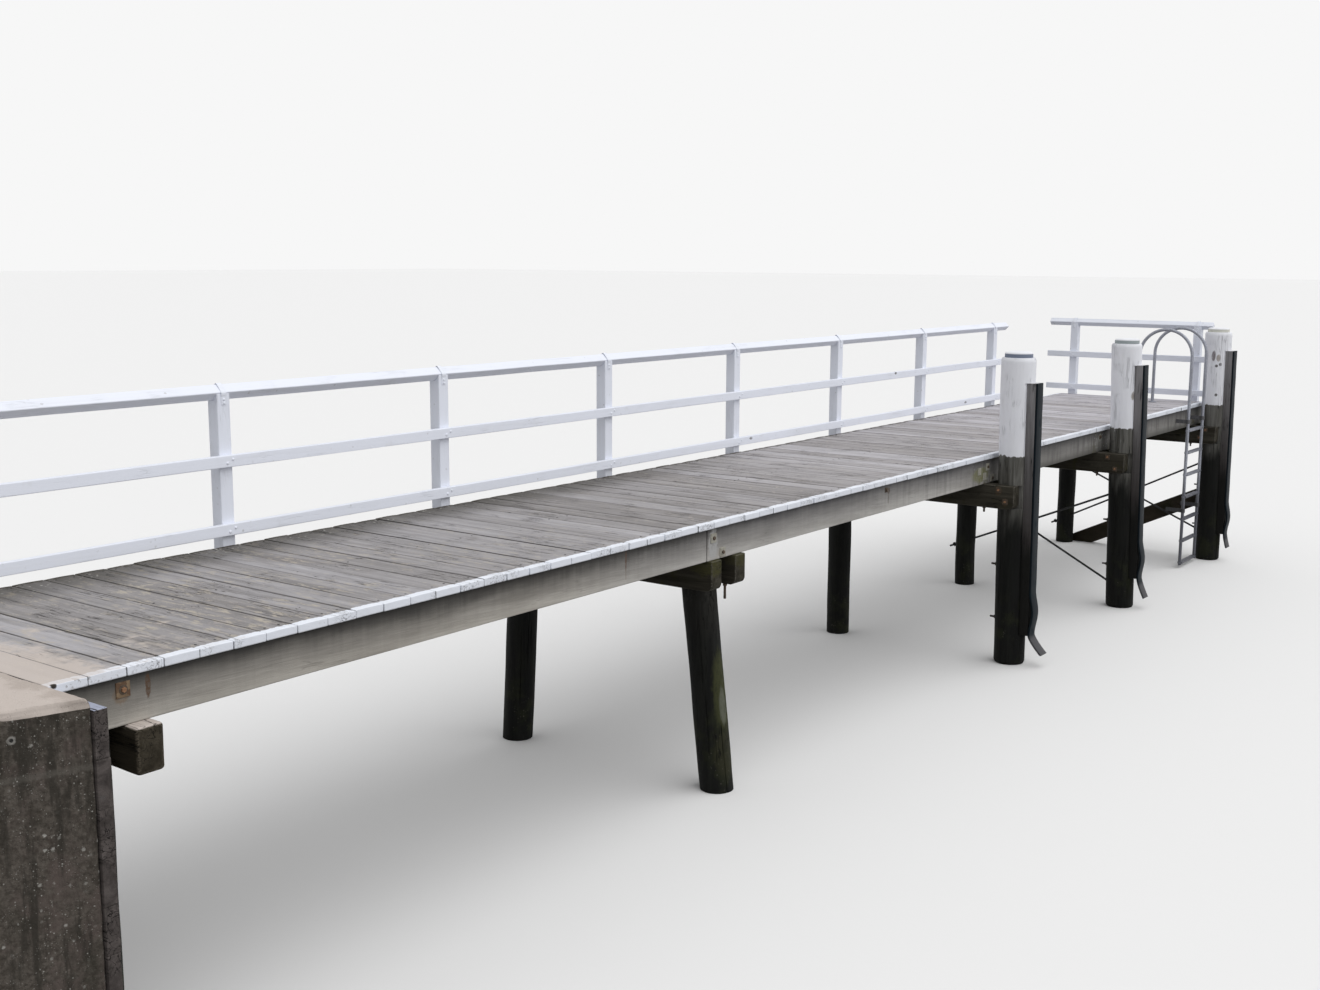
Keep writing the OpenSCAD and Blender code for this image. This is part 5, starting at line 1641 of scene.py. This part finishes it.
def makeRods():
    # two rods cross between the piles of a bent, sagging by a half sine; each goes on past the
    # far pile's side, where a square washer and a nut are seated square to the rod
    w, t, nut, nutTop = rods["washer"], rods["washerThick"], rods["nut"], rods["nutHigh"]
    washerProfile = [(w * 1.414, 0), (w * 1.414, t - 0.002), (w * 1.37, t)]
    nutProfile = [(nut, t), (nut, t + nutTop - 0.003), (nut * 0.88, t + nutTop)]
    for bent in ("bent_3", "bent_4"):
        farLow, farHigh = extent(bent + "_far_pile")
        farRadius = (farHigh - farLow)[1] / 2
        parts = []
        for side, (nearZ, farZ) in zip((-1, 1), rods[bent]):
            x = bentX[bentNames.index(bent)] + side * rods["offset"]
            start = np.array([x, tallAxisY, nearZ])
            end = np.array([x, (farLow + farHigh)[1] / 2, farZ])
            way = (end - start) / np.linalg.norm(end - start)
            lean = abs(math.atan2(end[1] - start[1], end[2] - start[2]))
            seat = (farRadius + w * abs(math.cos(lean))) / abs(math.sin(lean))
            last = end + way * (seat + rods["tail"])
            before, share = way * rods["before"], np.linspace(0, 1, rods["steps"])
            path = start - before + (last - start + before) * share[:, None]
            path[:, 2] -= rods["sag"] * np.sin(np.linspace(0, np.pi, rods["steps"]))
            parts.append(tube(path, rods["radius"], (1, 0, 0), 18))
            parts += turned([end + way * seat], way, washerProfile, 4, math.pi / 4)
            parts += turned([end + way * seat], way, nutProfile, 6)
        addPiece(bent.replace("_", "") + "TieRods", parts, rodSteel, bent + "_tie_rods")


# Abutment wall

abutment = {"rounding": 0.012, "splay": 20.0, "bevel": 0.04, "rough": 0.004, "pits": 0.003,
            "boardMark": 0.0016, "boardHigh": 0.15, "jointShare": 0.07, "skin": 0.06}


def makeWall():
    # a block narrowed inland by the splay, its end top edges bevelled, then worn by waves and
    # grooved at each shutter board's joint by a bell curve of the height
    low, high = extent("abutment_wall")
    middle, half = (low[1] + high[1]) / 2, (high[1] - low[1]) / 2

    def shape(points, number):
        x, y, z = points[..., 0], points[..., 1] - middle, points[..., 2]
        bevel = abutment["bevel"] * (1 + 0.35 * waves(points * (1, 1, 0), 74, 0.3))
        push = np.maximum(0, bevel - (half - np.abs(y)) - (high[2] - z)) / 2
        narrow = 1 - (high[0] - x) * math.tan(math.radians(abutment["splay"])) / half
        return np.stack([x, middle + (y - np.sign(y) * push) * narrow, z - push], -1)

    made = blocks([low], high - low, abutment["rounding"], (0.022, 0.02, 0.02), 71, shape)
    points = made[0]
    out = points - np.clip(points, low + abutment["skin"], high - abutment["skin"])
    out /= np.maximum(np.linalg.norm(out, axis=1, keepdims=True), 1e-6)
    depth = abutment["rough"] * (0.5 + 0.5 * waves(points, 72, 0.28))
    depth += abutment["pits"] * (0.5 + 0.5 * waves(points, 73, 0.07))
    lift = points[:, 2] / abutment["boardHigh"]
    joint = np.exp(-((lift - np.round(lift)) / abutment["jointShare"]) ** 2)
    depth += abutment["boardMark"] * joint * (np.abs(out[:, 2]) < 0.3)
    made[0] = points - out * depth[:, None]
    addPiece("abutmentWall", [made], concreteMaterial, "abutment_wall")


# Fasteners, true to scale

fasteners = {
    "plateHalf": 0.03, "plateThick": 0.006, "head": 0.014, "headHigh": 0.011, "washer": 0.024,
    "small": 0.7, "middling": 0.85, "large": 1.15, "largest": 1.25,  # scales of the plates
    # from the shore end and above the pile feet
    "bearing": ((0.387, 1.965),), "girderBolts": ((7.855, 1.981), (12.981, 1.958)),
    "girderPlates": ((9.755, 1.925), (9.875, 1.865)),
    "lapBolts": ((0.073, 1.953), (0.192, 1.833)),
    # height and place from the plank ends, on both faces of a bent's headstocks
    "headstockBolts": ((), ((-0.121, 1.745), (-0.193, 1.635)),
                       ((-0.087, 1.742), (-0.178, 1.613)), ((-0.15, 1.745), (-0.075, 1.64))),
    "farBolts": ((0.17, 1.72), (0.26, 1.63)),
    "stubLevels": ((0.969, 0.433), (0.99, 0.473), (0.985, 0.455)), "stubReach": 0.215,
    "driftDown": (0.117, 0.055, 0.05, 0.05), "drift": (-0.155, 0.05), "firstDrift": (0.11, 0.108),
}
spikes = {"aside": 0.055, "scatter": 0.012, "sunk": 0.0052, "firstPlanks": 3,
          "profile": [(0.007, 0), (0.0068, 0.0014), (0.004, 0.0022)]}
paintedHeads = {"down": (0.045, 0.068), "apart": 0.022,
                "dome": [(0.01, -0.002), (0.01, 0.002), (0.008, 0.0045), (0.004, 0.006)]}


def squarePlate(places, way, scale=1.0):
    # four-sided plate with a chamfered rim
    w, t = fasteners["plateHalf"] * scale, fasteners["plateThick"]
    profile = [(w * 1.414, -0.003), (w * 1.414, t - 0.0015), (w * 1.36, t)]
    return turned(places, way, profile, 4, math.pi / 4)


def hexHead(places, way, scale=1.0):
    # six-sided head that starts at the face of a plate
    t, h = fasteners["plateThick"], fasteners["head"] * scale
    return turned(places, way, [(h, t - 0.001), (h, t + fasteners["headHigh"] - 0.002),
                                (h * 0.85, t + fasteners["headHigh"])], 6, 0.4)


def makeBolts():
    # plates, heads and rod ends at their places in the fasteners' table, kept in four pieces by
    # their colour
    girderFace = extent("near_girder_shore")[0][1]
    outward = (0, -1, 0)

    def onGirder(start, key):
        # places on the mooring-side girder's face
        return [[start + x, girderFace, z] for x, z in fasteners[key]]

    bearing = onGirder(shoreX, "bearing")
    lift, wide = fasteners["plateThick"], fasteners["washer"]
    washer = [(wide, lift - 0.001), (wide, lift + 0.0005), (wide - 0.001, lift + 0.0015)]
    rusty = turned(bearing, outward, washer, 24)
    heads = hexHead(bearing, outward)
    bolts = onGirder(shoreX, "girderBolts")
    rusty += squarePlate(bolts, outward, fasteners["small"]) + hexHead(bolts, outward)
    laps = [place for part in ("middle", "river")
            for place in onGirder(extent("near_girder_" + part)[0][0], "lapBolts")]
    rusty += hexHead(laps, outward)
    pale = laps + onGirder(shoreX, "girderPlates")
    # both faces of the headstocks, beside the tall piles and beside the far piles
    face = extent("bent_1_headstocks")[1][0] - bentX[0]
    for bent, x, pairs in zip(bentNames, bentX, fasteners["headstockBolts"]):
        farPile = extent(bent + "_far_pile")[0][1]
        for way in (-1, 1):
            places = [[x + way * face, nearY + y, z] for y, z in pairs]
            places += [[x + way * face, farPile + y, z] for y, z in fasteners["farBolts"]]
            rusty += squarePlate(places, (way, 0, 0), fasteners["middling"])
            heads += hexHead(places, (way, 0, 0), fasteners["middling"])
    # fender bolts come out at the deck side of the tall piles
    for index, levels in enumerate(fasteners["stubLevels"]):
        for z in levels:
            y, radius = tallAxis(index, z)
            reach = fasteners["stubReach"] - radius
            stub = [[bentX[index + 1], y + radius - 0.012, z]]
            bar = [(0.01, 0), (0.01, reach + 0.009), (0.008, reach + 0.012)]
            nut = [(0.019, 0.008), (0.019, 0.026), (0.016, 0.028)]
            rusty += turned(stub, (0, 1, 0), bar, 14) + turned(stub, (0, 1, 0), nut, 6)
    # drift-bolt ends under the headstocks
    for bent, (x, down) in enumerate(zip(bentX, fasteners["driftDown"])):
        dx, dy = fasteners["drift" if bent else "firstDrift"]
        end = [[x + dx, nearY + dy, headstockBottom + 0.004]]
        bar = [(0.01, 0), (0.01, down + 0.001), (0.008, down + 0.004)]
        nut = [(0.018, 0.004), (0.018, 0.02), (0.015, 0.022)]
        rusty += turned(end, (0, 0, -1), bar, 14) + turned(end, (0, 0, -1), nut, 6)
    addPiece("rustyBolts", rusty, boltSteel)
    palePlates = squarePlate(pale, outward, fasteners["large"])
    addPiece("palePlates", palePlates, plateSteel)
    bearingPlate = squarePlate(bearing, outward, fasteners["largest"])
    addPiece("bearingPlate", bearingPlate, tanSteel)
    addPiece("orangeHeads", heads, orangeSteel)


def makeSpikes():
    # two to a plank over each girder, scattered; sand lies over those of the first planks
    rows = [sum(extent(n))[1] / 2 for n in ("near_girder_shore", "middle_girders", "far_girders")]
    random = np.random.default_rng(77)
    count = round((riverX - shoreX) / plankPitch)
    across, along = (grid.ravel() for grid in np.meshgrid(rows, np.arange(count), indexing="xy"))
    bare = along >= spikes["firstPlanks"]
    places = []
    for dx in (-spikes["aside"], spikes["aside"]):
        shift = random.uniform(-spikes["scatter"], spikes["scatter"], (2, across.size))
        places.append(np.stack([shoreX + (along + 0.5) * plankPitch + dx + shift[0], across + shift[1],
                                np.full(across.size, deckTop - spikes["sunk"])], 1)[bare])
    addPiece("deckSpikes", turned(np.concatenate(places), (0, 0, 1), spikes["profile"], 10), rodSteel)


def makePaintedBolts(sidePlaces, endPlaces):
    # domed heads through the straps on both sides of a post, and two slantwise on each flat rail
    # at each post
    painted = []
    railZ = sum(extent("side_top_rail"))[2] / 2
    half = railing["post"] / 2 + railing["strapThick"]
    for axis, places in ((1, sidePlaces), (0, endPlaces)):
        out = np.eye(3)[axis]
        for place in places:
            for down in paintedHeads["down"]:
                middle = np.array([*place, railZ - down])
                painted += turned([middle - out * half, middle + out * half], [-out, out],
                                  paintedHeads["dome"], 12)
    for line, ends, axis in (("side", sidePlaces, 1), ("end", endPlaces, 0)):
        for level in ("mid", "bottom"):
            low, high = extent("%s_%s_rail" % (line, level))
            places = []
            for place in ends:
                for shift in (-paintedHeads["apart"], paintedHeads["apart"]):
                    head = np.array([*place, (low[2] + high[2]) / 2 + shift / 2])
                    head[1 - axis] += shift
                    head[axis] = low[axis]
                    places.append(head)
            painted += turned(places, -np.eye(3)[axis], paintedHeads["dome"], 12)
    for part in painted:
        part[0] = np.clip(part[0], *np.array(cadBox))
    addPiece("paintedBolts", painted, strapSteel)


# Floor, light and camera

studio = {"floorPale": 0.8, "floorBounce": 0.2, "backdrop": 0.93, "sky": 0.68, "key": 1.65,
          "keyFrom": (0.2, -0.95, 1.3), "keyAngle": 85}


def twoGreys(lighting, shown):
    # one grey for the light that falls on the jetty, another for what the camera sees
    ray = put("LightPath").outputs
    direct = most(ray["Is Camera Ray"], most(ray["Is Glossy Ray"], ray["Is Transmission Ray"]))
    return blend(direct, grey(lighting), grey(shown))


def makeStudio():
    # wide pale floor, an even sky, and one soft lamp that shines from the key's direction
    bpy.ops.mesh.primitive_plane_add(size=600, location=(0, 0, -0.002))
    floor = bpy.context.object
    floor.name = "studioFloor"
    made = bpy.data.materials.new("paleFloor")
    made.use_nodes = True
    bench["tree"] = made.node_tree
    shader = made.node_tree.nodes["Principled BSDF"]
    plug(shader.inputs["Roughness"], 0.9)
    plug(shader.inputs["Specular IOR Level"], 0.1)
    plug(shader.inputs["Base Color"], twoGreys(studio["floorBounce"], studio["floorPale"]))
    floor.data.materials.append(made)

    world = bpy.data.worlds.new("studioWorld")
    bpy.context.scene.world = world
    world.use_nodes = True
    bench["tree"] = world.node_tree
    back = world.node_tree.nodes["Background"]
    plug(back.inputs["Color"], twoGreys(studio["sky"], studio["backdrop"]))
    plug(back.inputs["Strength"], 1.0)

    key = bpy.data.lights.new("softKey", "SUN")
    key.energy = studio["key"]
    key.angle = math.radians(studio["keyAngle"])
    lamp = bpy.data.objects.new("softKey", key)
    lamp.rotation_mode = "QUATERNION"
    lamp.rotation_quaternion = Vector(studio["keyFrom"]).to_track_quat("Z", "Y")
    bpy.context.scene.collection.objects.link(lamp)


view = {
    "place": (-3.48, -5.945, 3.969),  # from the shore end, the plank ends and the pile feet
    "turn": 36.563, "down": 9.16, "roll": 0.291,
    "focalPixels": 1483.0, "imageWidth": 1320,
}


def makeCamera():
    # turned about Z, tipped down and rolled by the view's angles; the lens is the focal length
    # in pixels over the picture's width, times the width of the sensor
    data = bpy.data.cameras.new("photoCamera")
    camera = bpy.data.objects.new("photoCamera", data)
    bpy.context.scene.collection.objects.link(camera)
    turn, down, roll = (math.radians(view[k]) for k in ("turn", "down", "roll"))
    ahead = Vector((math.cos(turn) * math.cos(down), math.sin(turn) * math.cos(down), -math.sin(down)))
    flatRight = Vector((math.sin(turn), -math.cos(turn), 0))
    right = flatRight * math.cos(roll) + flatRight.cross(ahead) * math.sin(roll)
    facing = Matrix((right, right.cross(ahead), -ahead)).transposed()
    place = Vector((shoreX, nearY, 0)) + Vector(view["place"])
    camera.matrix_world = Matrix.Translation(place) @ facing.to_4x4()
    data.sensor_width = 36
    data.lens = view["focalPixels"] / view["imageWidth"] * data.sensor_width
    data.clip_end = 2000
    bpy.context.scene.camera = camera


makePlanks()
print("deck planks made")
makeGirders()
makeHeadstocks()
makeShoreTimbers()
makeBrace()
print("girders and headstocks made")
makePiles()
makeCaps()
makeFenders()
print("piles, caps and fenders made")
sidePlaces, endPlaces = makeRailing()
print("railing made")
makeLadder()
makeRods()
makeWall()
print("ladder, rods and abutment made")
makeBolts()
makeSpikes()
makePaintedBolts(sidePlaces, endPlaces)
print("fasteners made")
makeStudio()
makeCamera()
bpy.context.scene.view_settings.view_transform = "Standard"
